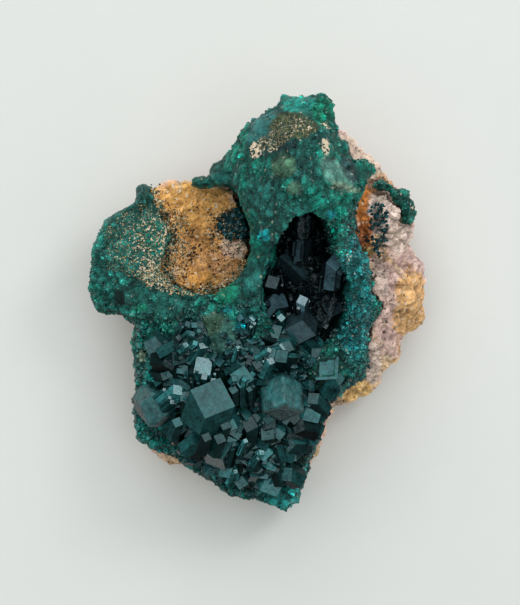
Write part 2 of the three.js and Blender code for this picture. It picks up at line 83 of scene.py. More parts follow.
# Each patch is its name, middle, reach and turn in the plan, its colour, and how far it takes over
CRUST_PATCHES = (
    ("dome crown", (5.2, 26.3), (2.6, 1.7), 0, tone(24, 162, 148), 0.9),
    ("crown right", (8.7, 24.9), (1.5, 2.0), 0, EMERALD, 0.8),
    ("left band", (0.4, 22.6), (2.8, 1.7), 38, SEA, 0.9),
    ("left band edge", (-2.6, 20.6), (1.1, 3.4), -20, tone(10, 156, 132), 0.85),
    ("olive crown", (4.6, 22.9), (3.0, 1.7), 0, OLIVE, 0.85),
    ("crown trail", (1.9, 20.6), (2.4, 1.4), 24, SLATE, 0.6),
    ("dark dip", (3.6, 20.4), (1.7, 0.9), 0, tone(8, 60, 62), 0.9),
    ("dull knob", (3.3, 17.7), (1.6, 1.7), 0, tone(78, 116, 88), 0.9),
    ("dull spot", (4.9, 14.8), (1.1, 0.9), 0, DULL, 0.8),
    ("dome face", (10.2, 16.7), (2.9, 1.7), -38, tone(96, 150, 136), 0.95),
    ("dome face rim", (11.4, 15.0), (2.2, 0.45), -12, PALE, 0.8),
    ("violet grain", (12.0, 17.4), (0.9, 2.0), 20, SLATE, 0.7),
    ("knob right", (14.2, 17.4), (1.5, 2.2), 30, tone(10, 146, 124), 0.7),
    ("hollow rim spot", (9.5, 11.5), (0.8, 0.6), 0, CYAN, 0.8),
    ("hollow rim left", (0.9, 8.9), (0.8, 0.8), 0, CYAN, 0.6),
    ("wall blue", (12.8, 0.5), (2.6, 8.0), 0, tone(36, 146, 150), 0.75),
    ("wall spot", (12.4, -5.4), (0.6, 0.8), 0, CYAN, 0.8),
    ("arm green", (-19.0, 7.0), (3.2, 5.4), 0, tone(44, 152, 138), 0.7),
    ("arm foot", (-14.6, 0.2), (6.8, 2.0), -8, tone(36, 116, 106), 0.7),
    ("emerald fold", (-3.9, 1.4), (1.9, 1.1), 16, EMERALD, 0.85),
    ("emerald lip", (-15.3, -0.5), (1.2, 0.45), 0, EMERALD, 0.8),
    ("crest", (-5.4, -4.4), (3.0, 3.4), 0, tone(72, 116, 106), 0.85),
    ("crest olive", (-5.9, -2.6), (1.7, 1.5), 30, tone(70, 98, 70), 0.7),
    # The arm pocket's near-black colour is painted shade in the small pocket
    ("arm pocket", (-18.3, 0.9), (0.8, 1.1), 20, tone(4, 24, 26), 0.95),
    ("ochre chip", (-15.3, -6.9), (0.6, 1.0), 0, tone(226, 150, 86), 0.95),
    ("blue spot", (-1.9, -2.9), (1.0, 0.9), 20, CYAN, 0.9),
    ("blue fleck", (-3.8, -0.7), (0.7, 0.5), 0, CYAN, 0.7),
    ("moss low left", (-9.7, -15.0), (1.3, 1.1), 30, MOSS, 0.9),
    ("moss middle", (3.3, -7.4), (1.5, 0.9), -20, MOSS, 0.8),
    ("left lobes", (-14.6, -9.0), (2.4, 6.6), 0, tone(14, 122, 112), 0.8),
    ("left skirt", (-12.6, -18.4), (4.4, 2.6), -40, tone(16, 128, 120), 0.85),
    ("low left border", (-4.4, -25.0), (7.4, 1.6), -28, tone(14, 110, 104), 0.8),
    ("low right border", (8.6, -19.6), (1.4, 5.4), -22, tone(14, 110, 104), 0.8),
    ("low tip", (4.4, -25.0), (4.0, 3.6), 0, tone(40, 150, 146), 0.9),
)

# Patches where the crust is bare rock, in light grains between the green ones
CREAM_PATCHES = (
    ("dome spot", (-0.1, 19.9), (0.85, 1.1), 0, 1.0),
    ("dome fleck", (8.8, 20.3), (0.5, 1.1), 10, 1.0),
    ("dome bit", (8.9, 22.9), (0.6, 0.5), 0, 0.7),
    ("olive crown", (4.2, 22.2), (3.0, 1.5), 10, 0.16),
    ("crown trail", (1.6, 20.4), (2.3, 1.0), 24, 0.3),
    ("arm speckle", (-12.6, 7.6), (4.6, 4.2), -10, 0.34),
    ("arm speckle low", (-11.6, 3.6), (4.0, 1.8), -14, 0.6),
    ("wall fleck", (11.7, 6.0), (0.6, 0.8), 0, 0.3),
    ("field fleck", (1.4, -6.0), (0.5, 0.4), 0, 0.9),
    ("field fleck right", (3.5, -5.6), (0.3, 0.4), 0, 0.9),
)

# Patches with no small crystals on them
CALM_PATCHES = (
    ("dome crown", (5.2, 26.3), (2.4, 1.5), 0, 0.6),
    ("left band", (0.4, 22.6), (2.6, 1.5), 38, 0.95),
    ("olive crown", (4.6, 22.9), (2.9, 1.6), 0, 0.8),
    ("dull knob", (3.3, 17.7), (1.3, 1.4), 0, 0.95),
    ("dull spot", (4.9, 14.8), (1.0, 0.8), 0, 0.9),
    ("dome face", (10.2, 16.7), (2.7, 1.6), -38, 0.95),
    ("crest", (-5.4, -4.0), (2.7, 2.8), 0, 0.95),
    ("arm speckle", (-13.4, 7.6), (5.6, 4.6), -10, 0.95),
    ("arm pocket", (-18.3, 0.9), (0.7, 0.9), 20, 1.0),
    ("ochre chip", (-15.3, -6.9), (0.6, 1.0), 0, 1.0),
    ("arm foot", (-14.6, 0.4), (5.6, 1.4), -8, 0.6),
    ("emerald fold", (-3.9, 1.4), (1.7, 0.9), 16, 0.9),
)

ROCK_PATCHES = (
    ("bay ochre", (-8.0, 11.4), (6.4, 4.6), 0, OCHRE, 0.9),
    ("bay floor", (-6.2, 6.4), (5.4, 4.2), 0, tone(222, 164, 98), 0.9),
    ("bay low ochre", (-8.6, 2.8), (3.6, 1.5), 10, tone(232, 168, 88), 0.9),
    ("bay pink", (-2.6, 7.4), (2.2, 1.4), 0, PINK, 0.7),
    ("bay edge pink", (-13.6, 12.4), (0.8, 2.2), 0, PINK, 0.8),
    ("bay cream lip", (-11.6, 2.4), (3.2, 0.6), -22, CREAM, 0.9),
    ("bay druse", (-3.6, 10.6), (2.0, 1.9), 0, INK, 0.95),
    ("cleft orange", (14.3, 12.6), (1.3, 3.2), 0, ORANGE, 0.95),
    ("cleft rust", (14.1, 9.0), (1.3, 2.2), 0, RUST, 0.9),
    ("cleft foot", (14.6, 6.4), (1.1, 1.2), 0, GOLD, 0.8),
    ("knob", (17.8, 13.0), (2.8, 2.6), 0, PINK, 0.95),
    ("knob druse", (16.3, 10.0), (0.7, 3.2), 14, tone(30, 78, 78), 0.5),
    ("knob low", (18.8, 9.2), (1.8, 2.4), 0, PINK, 0.9),
    ("cream shoulder", (13.6, 19.4), (3.4, 3.6), 0, tone(240, 214, 194), 0.9),
    ("inner mauve", (17.0, 0.6), (2.3, 6.2), 6, MAUVE, 0.95),
    ("inner cream", (16.4, 3.4), (1.2, 2.6), 10, PINK, 0.7),
    ("low mauve", (15.6, -8.0), (1.2, 3.0), 0, PINK, 0.9),
    ("outer gold", (20.8, -0.4), (2.5, 5.6), 0, tone(244, 192, 130), 0.95),
    ("toe", (13.4, -11.8), (2.4, 1.5), 0, tone(255, 206, 134), 0.95),
)

# Patches of the rock with dark grains between the light ones
SPECK_PATCHES = (
    ("bay left", (-11.0, 6.8), (3.6, 4.0), 0, 0.75),
    ("bay floor", (-5.8, 4.6), (4.2, 2.6), 20, 0.5),
    ("bay top", (-9.4, 12.6), (4.4, 1.6), 0, 0.3),
    ("bay druse edge", (-3.4, 10.4), (2.8, 2.7), 0, 0.6),
    ("cleft", (14.4, 7.6), (1.6, 2.4), 0, 0.5),
    ("knob edge", (20.0, 12.0), (1.4, 2.4), 0, 0.5),
    ("inner mauve", (17.0, 0.4), (1.8, 6.0), 6, 0.08),
)

# Each large crystal is its place, radius, length, lean, the way it leans, its turn about itself,
# how light it is and how frosted. How light it is is partly the crystal's own tone and partly
# painted light and shade: painted highlight on the faces that glint, painted shade on the dark ones
FIELD_CRYSTALS = (
    (-5.4, -11.4, 19.5, 3.6, 5, 59, 71, 118, 0.82, 0.35),
    (3.4, -12.6, 19.7, 3.4, 6, 12, 300, 30, 1.1, 0.8),
    (9.7, -8.9, 17.5, 2.5, 4.5, 59, 314, 2, 1, 0.6),
    (-7.6, -7.8, 18.5, 1.95, 4.6, 57, 109, 27, 1.1, 0.12),
    (-8.7, -6.9, 17.6, 1.2, 6.5, 45, 20, 0, 1.2, 0.1),
    (-8.7, -4.3, 19.4, 2.1, 5.5, 22, 100, 20, 0.8, 0.4),
    (-7, -5.1, 18.9, 1, 4, 73, 56, 7, 1.1, 0.1),
    (-13.7, -5.5, 15.1, 2.5, 5.5, 64, 163, 115, 0.5, 0.5),
    (-12.4, -14.3, 14.9, 2.9, 6, 25, 319, 32, 1, 0.7),
    (-9.1, -17, 13.8, 1.5, 4, 84, 237, 32, 1.3, 0.2),
    (-4.8, -19.9, 16.7, 2.45, 6, 26, 298, 110, 0.55, 0.3),
    (-3.9, -22.5, 14.3, 1.3, 4.5, 58, 295, 9, 1, 0.2),
    (-3.6, -16.3, 17.8, 1.15, 4, 50, 253, 115, 1.1, 0.2),
    (-1.7, -8.9, 20.1, 1.9, 6.5, 50, 90, 104, 1, 0.5),
    (-2.8, -12.4, 17.4, 1.3, 4, 81, 263, 90, 0.35, 0.2),
    (2.4, -4.1, 18.9, 1.5, 5, 45, 313, 100, 0.5, 0.2),
    (3.5, -5.3, 19.5, 0.9, 4, 70, 73, 15, 1.1, 0.06),
    (-0.1, -7.2, 19.3, 1.2, 4, 56, 162, 14, 0.9, 0.2),
    (0.9, -20.1, 15, 1.45, 5, 59, 270, 0, 1.1, 0.2),
    (-0.7, -22.8, 13.7, 1, 4, 18, 214, 18, 0.9, 0.1),
    (2.2, -24.7, 11.7, 2.1, 5, 59, 291, 118, 1, 0.3),
    (-2.2, -24.1, 12.1, 1.2, 4, 59, 258, 3, 1, 0.2),
    (7.5, -14.9, 15.8, 1.9, 5, 62, 304, 113, 0.9, 0.3),
    (-10.3, -11.2, 16.9, 1.1, 4, 74, 40, 119, 1.3, 0.08),
    (-11.7, -10.5, 15.7, 1.4, 4, 68, 202, 34, 0.3, 0.2),
    (10.6, -9.5, 17.3, 1.1, 3.4, 64, 60, 53, 1.2, 0.1),
    (-1.2, 2.2, 20.5, 1.65, 5, 65, 73, 4, 1.1, 0.2),
    (-0.2, 1.6, 20.5, 1.1, 4, 69, 46, 28, 0.6, 0.2),
    (1.2, 4.8, 20.3, 1, 4, 31, 20, 0, 0.9, 0.2),
    (-1.5, -18.6, 16.1, 1.4, 4, 10, 215, 48, 0.7, 0.2),
    (3, -17.5, 16, 1.1, 4, 53, 272, 12, 0.8, 0.2),
    (5.1, -17.9, 14.1, 1.9, 5, 89, 295, 13, 0.4, 0.3),
    (-7, -17.6, 15.2, 0.9, 3.5, 76, 234, 111, 1.1, 0.1),
    (0.8, -18, 15.7, 0.9, 3.5, 36, 273, 9, 1, 0.1),
    (2, -21.9, 14.1, 1.1, 5, 52, 324, 81, 0.9, 0.1),
    (-1.2, -20.3, 14.7, 0.9, 4, 52, 220, 105, 0.8, 0.1),
    (-1.5, -15, 17.1, 1.1, 4, 37, 289, 81, 0.9, 0.1),
    (-10.1, -9.5, 16.7, 0.9, 3.5, 47, 173, 40, 0.9, 0.2),
    (1.8, -7.3, 20.1, 0.75, 4, 72, 65, 11, 1.2, 0.05),
    (-0.6, -1.5, 20.8, 0.8, 3.5, 68, 81, 18, 1.2, 0.08),
    (3.1, -2.1, 19.6, 0.75, 4, 39, 290, 92, 1, 0.08),
    (1.5, -15.4, 17.6, 0.85, 4, 63, 266, 8, 0.9, 0.1),
    (-4.7, -17.5, 16.6, 0.8, 5, 67, 193, 14, 0.9, 0.1),
    (-7.9, -11.1, 17.9, 0.7, 3.5, 62, 174, 113, 1.0, 0.1),
    (-7.9, -5.1, 20.55, 0.53, 1, 74, 39, 100, 1.37, 0.08),
    (-7.5, -3.4, 20.45, 0.41, 1, 59, 47, 6, 1, 0.08),
    (-7.4, -3.1, 20.35, 0.28, 1, 74, 27, 6, 0.87, 0.08),
    (-9.4, -5.7, 19.95, 0.61, 1, 80, 45, 12, 0.85, 0.08),
    (-9.7, -2.9, 20.15, 0.28, 1, 65, 71, 8, 0.75, 0.08),
    (-8.9, -3.6, 20.65, 0.44, 1, 74, 44, 13, 0.75, 0.08),
    (-8.1, -2.6, 20.15, 0.6, 1, 59, 47, 5, 0.8, 0.08),
    (-9.3, -5.2, 20.35, 0.58, 1, 68, 69, 11, 1.32, 0.08),
    (-8.3, -3.8, 20.65, 0.52, 1, 63, 29, 1, 0.95, 0.08),
    (-1.5, 2.9, 21.05, 0.51, 1, 53, 92, 13, 0.83, 0.08),
    (-1.1, 2.1, 21.35, 0.29, 1, 59, 97, 5, 0.97, 0.08),
    (-1.8, 0.6, 20.75, 0.58, 1, 57, 84, 27, 0.79, 0.08),
    (-1.2, 1.9, 21.25, 0.38, 1, 67, 87, 25, 1.42, 0.08),
    (-1.9, 1.1, 20.85, 0.6, 1, 65, 64, 20, 0.84, 0.08),
    (-0.7, 1.2, 21.15, 0.38, 1, 64, 93, 13, 0.91, 0.08),
    (-0.6, -9.6, 20.65, 0.34, 1, 84, 30, 120, 1.08, 0.08),
    (-1.7, -9.6, 20.95, 0.57, 1, 66, 84, 30, 1.48, 0.08),
    (-0.7, -9, 20.65, 0.56, 1, 57, 85, 26, 0.93, 0.08),
    (-1.8, -9.9, 20.95, 0.35, 1, 65, 96, 7, 1.2, 0.08),
    (-2.8, -9.6, 20.75, 0.62, 1, 64, 51, 118, 0.83, 0.08),
    (1.7, -6, 20.4, 0.5, 3.2, 74, 32, 115, 1.3, 0.05),
    (2.6, -6.4, 20, 0.4, 3, 71, 16, 108, 1.3, 0.05),
    (0.7, -19.5, 15.7, 0.6, 3, 74, 48, 3, 1.3, 0.05),
    (-4.5, -16.3, 17.8, 0.5, 3, 73, 24, 111, 1.3, 0.05),
    (-9.1, -12.5, 17.4, 0.45, 3, 69, 8, 104, 1.3, 0.05),
    (-1.5, -17.9, 17, 0.5, 3, 72, 65, 11, 1.3, 0.05),
    (-2.5, -5.5, 20.4, 0.45, 3, 70, 73, 15, 1.3, 0.05),
    (-11.2, -6.8, 17.2, 0.5, 3, 74, 32, 115, 1.3, 0.05),
    (3.4, -21.4, 13.4, 0.5, 3, 65, 88, 21, 1.3, 0.05),
    (-2.8, -22.1, 14.4, 0.45, 3, 73, 56, 7, 1.3, 0.05),
)
# The hollow's crystals, in the same columns: the nearly black ones carry painted shade deep in the
# hollow, the lightest ones painted highlight
HOLLOW_CRYSTALS = (
    (5.7, 9.6, 17.5, 2.6, 9, 24, 262, 20, 0.03, 0.3),
    (5.6, 5.5, 17.3, 1.2, 8, 109, 265, 104, 0.9, 0.35),
    (3.5, 5.8, 16.9, 1.4, 8, 59, 137, 59, 1.4, 0.2),
    (10, 5.8, 20, 1.5, 8, 66, 84, 20, 2.2, 0.12),
    (10.7, 4.1, 18.8, 1.4, 7, 22, 116, 89, 1.7, 0.2),
    (5.7, 0.7, 18.2, 1.1, 6, 62, 96, 24, 2.2, 0.08),
    (3.2, 2.4, 16.7, 1.6, 7, 30, 320, 12, 0.4, 0.1),
    (8.4, 3, 14.7, 1.7, 7, 30, 200, 12, 0.15, 0.1),
    (9.8, -1.3, 15.3, 2, 7, 26, 250, 5, 0.5, 0.1),
    (11.4, -4.8, 17.6, 0.95, 5, 60, 82, 116, 0.8, 0.1),
    (9, -5.4, 16.1, 1.6, 6, 30, 150, 15, 0.3, 0.1),
    (7.1, 2.4, 14.2, 1.4, 6, 20, 100, 50, 0.2, 0.1),
    (5.9, -2.6, 18.6, 2.4, 7, 20, 80, 0, 1.5, 0.15),
    (1.7, 3.3, 20, 1.35, 6, 39, 112, 11, 0.6, 0.3),
    (2.9, 0.8, 18.2, 1.7, 6, 84, 50, 25, 1, 0.1),
)

# The crystals in the gaps of the field: how many at most, and the border that they keep inside,
# which is its top and left, its lowest y along x, and its last x along y
FILLERS = 420
FIELD_TOP = -2.4
FIELD_LEFT = -12.0
FIELD_LOW = ((-14.0, 5.2), (-16.8, -24.6))
FIELD_RIGHT = ((-27.0, -15.5, -2.0), (3.8, 7.8, 8.8))

WORN_FROST = 0.7  # crystals at least as frosted as this are worn to rounded lumps
WORN_FACE = 0.24  # face size of those lumps
WORN_STEPS = 26  # how often they are smoothed

END_FACE_DROP = 0.617  # how far a dioptase end face falls across its crystal's radius
END_FACES = 3  # the first of a crystal's faces close its end, and the others are its sides
END_MATERIAL = "Dioptase crystal"
SIDE_MATERIAL = "Dioptase side"
CRUST_MATERIAL = "Dioptase crust"

# The hollow's two rounds, each with its middle and reach in the plan
HOLLOW_ROUNDS = (((6.0, 7.4), (3.9, 5.6)), ((6.5, 0.8), (5.6, 7.6)))
# Painted shade in the hollow: a near-black tone laid over the crust inside it, fading out between
# these heights at its mouth, and how far it takes over
HOLLOW_MOUTH = (24.5, 27.5)  # the heights over which its darkness fades
HOLLOW_TONE = tone(4, 16, 20)
HOLLOW_SHADE = 0.93  # how far it takes over
# Painted shade on the crust in the gaps between the field's crystals
FIELD_SHADE = 0.82  # how far the crust between the field's crystals is darkened

# Each druse is its name, the skin it grows on, middle and reach in the plan, count, radius range,
# lean, how light it is, and seed. The one without a middle grows beside the crust's edge
DRUSES = (
    ("dome_druse", "crust_skin", (6.0, 16.5), (11.5, 12.0), 5600, (0.05, 0.17), 45, 1.25, 3),
    ("dome_knots", "crust_skin", (6.0, 16.0), (10.5, 11.0), 260, (0.16, 0.42), 40, 1.0, 4),
    ("arm_druse", "crust_skin", (-14.5, 3.0), (9.5, 9.0), 4600, (0.06, 0.2), 40, 1.15, 5),
    ("wall_druse", "crust_skin", (12.0, 0.0), (5.0, 12.0), 3000, (0.1, 0.34), 45, 1.15, 7),
    ("field_druse", "crust_skin", (-3.0, -13.5), (15.0, 14.5), 2200, (0.12, 0.42), 50, 0.95, 9),
    ("field_stubs", "crust_skin", (-2.4, -13.6), (10.0, 10.4), 500, (0.3, 1.0), 55, 0.9, 10),
    ("rim_druse", "crust_skin", (-15.2, -12.0), (3.4, 9.5), 1800, (0.16, 0.5), 45, 1.2, 12),
    ("hollow_druse", "hollow_bed", (6.3, 3.4), (6.0, 9.6), 800, (0.2, 0.7), 40, 1.0, 13),
    ("bay_druse", "rock_skin", (-2.9, 10.6), (2.5, 2.0), 440, (0.14, 0.4), 50, 1.0, 14),
    ("cleft_druse", "rock_skin", (16.0, 9.8), (1.3, 3.8), 150, (0.14, 0.36), 50, 1.0, 15),
    ("border_druse", "rock_skin", None, None, 1700, (0.12, 0.38), 50, 1.1, 17),
    ("edge_druse", "edge_skin", (19.0, 14.0), (4.5, 4.5), 420, (0.08, 0.24), 50, 1.1, 16),
)
RAGGED_COUNT = 1000  # a druse of fewer crystals than this has a ragged edge
DRUSE_SLOPES = (-0.5, 0.1)  # how far up a surface looks where druse starts and where it is full
STUBS_SLOPES = (0.35, 0.75)
DARK_DRUSES = ("field_stubs", "bay_druse", "cleft_druse", "border_druse")
DARK_DRUSE_TONE = tone(20, 66, 70)

# The green, dark, light, ochre and gold grains
GRAIN_TONES = (
    tone(44, 104, 92), tone(14, 28, 26), tone(222, 206, 172), tone(226, 164, 88),
    tone(146, 132, 82),
)

# Each scatter of grains is its skin, middle, reach and turn in the plan, count, largest radius, the
# share of each of those tones, and seed
GRAINS = (
    ("crust_skin", (-14.6, 7.8), (6.0, 4.9), -12, 3800, 0.14, (0.56, 0.24, 0.08, 0.03, 0.09), 51),
    ("crust_skin", (-11.4, 3.0), (4.4, 1.6), -14, 1200, 0.17, (0.34, 0.14, 0.36, 0.1, 0.06), 52),
    ("rock_skin", (-11.2, 8.0), (2.2, 5.0), 0, 1300, 0.18, (0.14, 0.24, 0.24, 0.34, 0.04), 53),
    ("rock_skin", (-7.0, 8.4), (6.0, 7.4), 0, 700, 0.15, (0.0, 0.14, 0.12, 0.74, 0.0), 54),
    ("rock_skin", (-3.8, 9.4), (3.0, 3.0), 30, 600, 0.16, (0.1, 0.5, 0.2, 0.1, 0.1), 55),
    ("crust_skin", (4.4, 22.6), (3.0, 1.6), 0, 1200, 0.1, (0.3, 0.4, 0.04, 0.0, 0.26), 56),
    ("crust_skin", (2.6, 21.2), (2.8, 1.0), 20, 800, 0.11, (0.3, 0.3, 0.14, 0.0, 0.26), 57),
)
LEAST_GRAIN = 0.06
GRAINS_FLOOR = 8.0  # no grains lie lower than this

# The edge of the bare rock along the arm and below it, where loose grains bridge the step
BARE_EDGE = (
    (-14.0, 15.0), (-13.2, 12.8), (-12.1, 10.8), (-11.2, 9.0), (-12.0, 6.6), (-12.9, 4.6),
    (-12.0, 3.0), (-8.4, 1.2), (-5.4, 1.3), (-3.0, 2.9), (-1.4, 5.0),
)
EDGE_BOX = ((-18.0, 0.0), (-2.0, 19.0))  # the part of the skins that it runs over
EDGE_GRAINS = 3200
EDGE_WIDTH = 0.9
EDGE_RADIUS = 0.24
EDGE_STEP = 1.6  # the highest step that the grains bridge
EDGE_TURN_Y = 3.4  # below this the edge's grains are mostly light
EDGE_SHARES = (0.3, 0.14, 0.3, 0.22, 0.04)
EDGE_LIGHT_SHARES = (0.12, 0.06, 0.5, 0.26, 0.06)
EDGE_SEED = 61

# The bare bay, where hardly any druse grows beside the crust: its middle, reach and least height
BAY_MIDDLE = (-8.0, 9.0)
BAY_REACH = (8.5, 9.5)
BAY_HEIGHT = 12.0

# The size and the seed of each skin's knobs, from the largest on
CRUST_KNOBS = ((2.6, 5), (1.25, 15), (0.65, 25))
ROCK_KNOBS = ((2.0, 33), (0.85, 35))
EDGE_KNOBS = ((2.0, 45), (0.8, 47))
EDGE_SKIN_FACE = 0.00025
CRYSTAL_BED = 0.6  # how far the crust's skin sinks where a large crystal stands
RESTING_HEIGHTS = (0.05, 0.8)  # the rock is flat below these, and has its knobs above

# The least and the most that the painted shade in clefts and the painted light on knobs, with each
# knob's own random tone, darken or lighten a skin
CRUST_SHADES = (0.25, 1.6)
ROCK_SHADES = (0.35, 1.3)

# The first seed of each list's uneven edges, and those of the large crystals' draws
PATCH_SEED = 40
CALM_SEED = 90
CREAM_SEED = 120
SPECK_SEED = 150
FIELD_SEED = 21
HOLLOW_SEED = 23

# Each light is its name, place, width, and the setting that gives its power
LIGHTS = (
    ("top_light", (0.0, 0.16, 0.75), 1.0, "top"),
    ("back_light", (-0.1, 0.62, 0.34), 0.6, "back"),
    ("side_light", (0.27, 0.24, 0.36), 0.15, "side"),
)
LIGHTS_AIM = (0.0, 0.0, 0.01)
SKY_COLOUR = (0.97, 1.0, 0.985, 1)
FLOOR_RADIUS = 3.0
FLOOR_SIDES = 64
CAMERA_OVER = (0.0004, 0.0002)
CAMERA_SENSOR = 36
CAMERA_NEAREST = 0.01

GRAIN_STIR = (0.00012, 0.00012, 0.00012)  # how far speckle grains are pulled out of shape

# The sockets of a colour Mix node
MIX_FIRST, MIX_SECOND, MIX_RESULT = 6, 7, 2


def cell_draw(cells, seed):
    """One fixed number from 0 to 1 for each whole-number cell."""
    mixed = (cells[..., 0] * 73856093) ^ (cells[..., 1] * 19349663) ^ (cells[..., 2] * 83492791)
    mixed = (mixed ^ (seed * 2654435761)) & 0xFFFFFFFF
    mixed = ((mixed ^ (mixed >> 13)) * 1274126177) & 0xFFFFFFFF
    mixed = ((mixed ^ (mixed >> 16)) * 668265263) & 0xFFFFFFFF
    return (mixed ^ (mixed >> 15)) / 0xFFFFFFFF


def soft_noise(points, size, seed):
    """A soft random field from -1 to 1, whose lumps lie about size apart."""
    scaled = points / size
    base = np.floor(scaled).astype(np.int64)
    part = scaled - base
    part = part * part * (3 - 2 * part)
    total = np.zeros(len(points))
    for corner in product((0, 1), repeat=3):
        weight = np.prod(np.where(corner, part, 1 - part), axis=1)
        total += weight * cell_draw(base + np.array(corner), seed)
    return total * 2 - 1


def knobs(points, size, seed):
    """Rounded knobs about size apart: their height, 0 in the clefts to 1, and a number of each."""
    scaled = points / size
    base = np.floor(scaled).astype(np.int64)
    nearest = np.full(len(points), 9.0)
    second = np.full(len(points), 9.0)
    owner = np.zeros(len(points))
    for step in product((-1, 0, 1), repeat=3):
        cell = base + np.array(step)
        middle = cell + np.stack([cell_draw(cell, seed + k) for k in (1, 2, 3)], axis=1)
        distance = np.linalg.norm(scaled - middle, axis=1)
        closer = distance < nearest
        second = np.where(closer, nearest, np.minimum(second, distance))
        nearest[closer] = distance[closer]
        owner[closer] = cell_draw(cell[closer], seed + 4)
    share = np.clip((second - nearest) / 0.75, 0, 1)
    return 1 - (1 - share) ** 2, owner


def fade(values, low, high):
    """Rises smoothly from 0 at low to 1 at high."""
    share = np.clip((values - low) / (high - low), 0, 1)
    return share * share * (3 - 2 * share)


def mottle(points, broad, fine, seed, low, high):
    """Soft spots from 0 to 1: a broad random field, with a finer one over it."""
    field = soft_noise(points, broad, seed) + 0.5 * soft_noise(points, fine, seed + 1)
    return fade(field, low, high)


def plan_distance(points, middle, reach):
    """How far each point is from the middle in the plan, 1 at the reach."""
    return np.hypot((points[:, 0] - middle[0]) / reach[0], (points[:, 1] - middle[1]) / reach[1])


def patch_share(points, middle, reach, turn, seed):
    """How much of a patch each point has, with an uneven edge."""
    angle = math.radians(turn)
    across = points[:, :2] - np.array(middle)
    along = across @ np.array([math.cos(angle), math.sin(angle)])
    aside = across @ np.array([-math.sin(angle), math.cos(angle)])
    distance = np.hypot(along / reach[0], aside / reach[1])
    distance += 0.2 * soft_noise(points, 1.5, seed) + 0.13 * soft_noise(points, 0.5, seed + 1)
    return 1 - fade(distance, 0.9, 1.06)


def patches_colour(points, normals, ground, patches):
    """The ground's colours with each patch laid over them where the surface looks up."""
    colours = ground.copy()
    upward = fade(normals[:, 2], -0.25, 0.35)
    for index, (_, middle, reach, turn, colour, most) in enumerate(patches):
        share = patch_share(points, middle, reach, turn, PATCH_SEED + index)[:, None] * most
        share = share * upward[:, None]
        colours = colours * (1 - share) + np.array(colour) * share
    return colours


def patches_mask(points, patches, seed):
    """The strongest of the patches at each point, from 0 to 1."""
    mask = np.zeros(len(points))
    for index, (_, middle, reach, turn, most) in enumerate(patches):
        mask = np.maximum(mask, most * patch_share(points, middle, reach, turn, seed + index))
    return mask


def read_points(mesh):
    """A mesh's vertices in millimetres."""
    flat = np.empty(len(mesh.vertices) * 3)
    mesh.vertices.foreach_get("co", flat)
    return flat.reshape(-1, 3) / MM


def read_normals(mesh):
    """A mesh's vertex normals."""
    flat = np.empty(len(mesh.vertices) * 3)
    mesh.vertex_normals.foreach_get("vector", flat)
    return flat.reshape(-1, 3)


def write_points(mesh, points):
    """Moves a mesh's vertices to points given in millimetres."""
    mesh.vertices.foreach_set("co", (points * MM).ravel())
    mesh.update()


def write_colour(mesh, name, colours):
    """Keeps one colour for each vertex under that name."""
    layer = mesh.color_attributes.new(name, "FLOAT_COLOR", "POINT")
    opaque = np.concatenate([colours, np.ones((len(colours), 1))], axis=1)
    layer.data.foreach_set("color", opaque.ravel())


def read_colour(mesh, name):
    """The colours kept for each vertex under that name."""
    flat = np.empty(len(mesh.vertices) * 4)
    mesh.color_attributes[name].data.foreach_get("color", flat)
    return flat.reshape(-1, 4)[:, :3]


def write_value(mesh, name, values):
    """Keeps one number for each vertex under that name."""
    mesh.attributes.new(name, "FLOAT", "POINT").data.foreach_set("value", values)


def surface(mesh):
    """A mesh's vertices in millimetres, and their normals."""
    return read_points(mesh), read_normals(mesh)


def joined_mesh(name, corners, faces):
    """One mesh of many shapes of the same faces, from an array of each one's corners."""
    each = corners.shape[1]
    joined = [
        tuple(each * index + corner for corner in face)
        for index in range(len(corners))
        for face in faces
    ]
    mesh = bpy.data.meshes.new(name)
    mesh.from_pydata((corners.reshape(-1, 3) * MM).tolist(), [], joined)
    mesh.update()
    return mesh


def fresh(name, mesh):
    """A new object for a mesh, in place of any older one of that name."""
    older = bpy.data.objects.get(name)
    if older is not None:
        bpy.data.objects.remove(older)
    made = bpy.data.objects.new(name, mesh)
    bpy.context.scene.collection.objects.link(made)
    return made


def finished(piece, material, slot, *nodes):
    """Gives a piece its material, and sets it on the frame in place of those nodes."""
    if material is not None:
        piece.data.materials.clear()
        piece.data.materials.append(material)
    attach(piece, BODY)
    if nodes:
        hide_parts(*nodes)
    return piece


def with_modifiers(piece):
    """A piece of the same name, with the mesh that the modifiers make of the given one."""
    shaped = bpy.data.meshes.new_from_object(
        piece.evaluated_get(bpy.context.evaluated_depsgraph_get())
    )
    return fresh(piece.name, shaped)


def even_piece(name, mesh, face, smoothing=0):
    """A mesh's shape in even faces of that size, smoothed that often."""
    rough = fresh(name, mesh)
    remesh = rough.modifiers.new("even faces", "REMESH")
    remesh.mode = "VOXEL"
    remesh.voxel_size = face
    remesh.use_smooth_shade = True
    if smoothing:
        rough.modifiers.new("worn edges", "SMOOTH").iterations = smoothing
    return with_modifiers(rough)


def even_skin(node, face, name):
    """The CAD node's shape in even faces of that size."""
    return even_piece(name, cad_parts[node].data.copy(), face)


def turned(lean, towards, spin):
    """The rotation of a crystal that leans that far, that way, after its own spin, in degrees."""
    spin_turn = Matrix.Rotation(math.radians(spin), 3, "Z")
    lean_turn = Matrix.Rotation(math.radians(lean), 3, "Y")
    way_turn = Matrix.Rotation(math.radians(towards), 3, "Z")
    return np.array(way_turn @ lean_turn @ spin_turn)


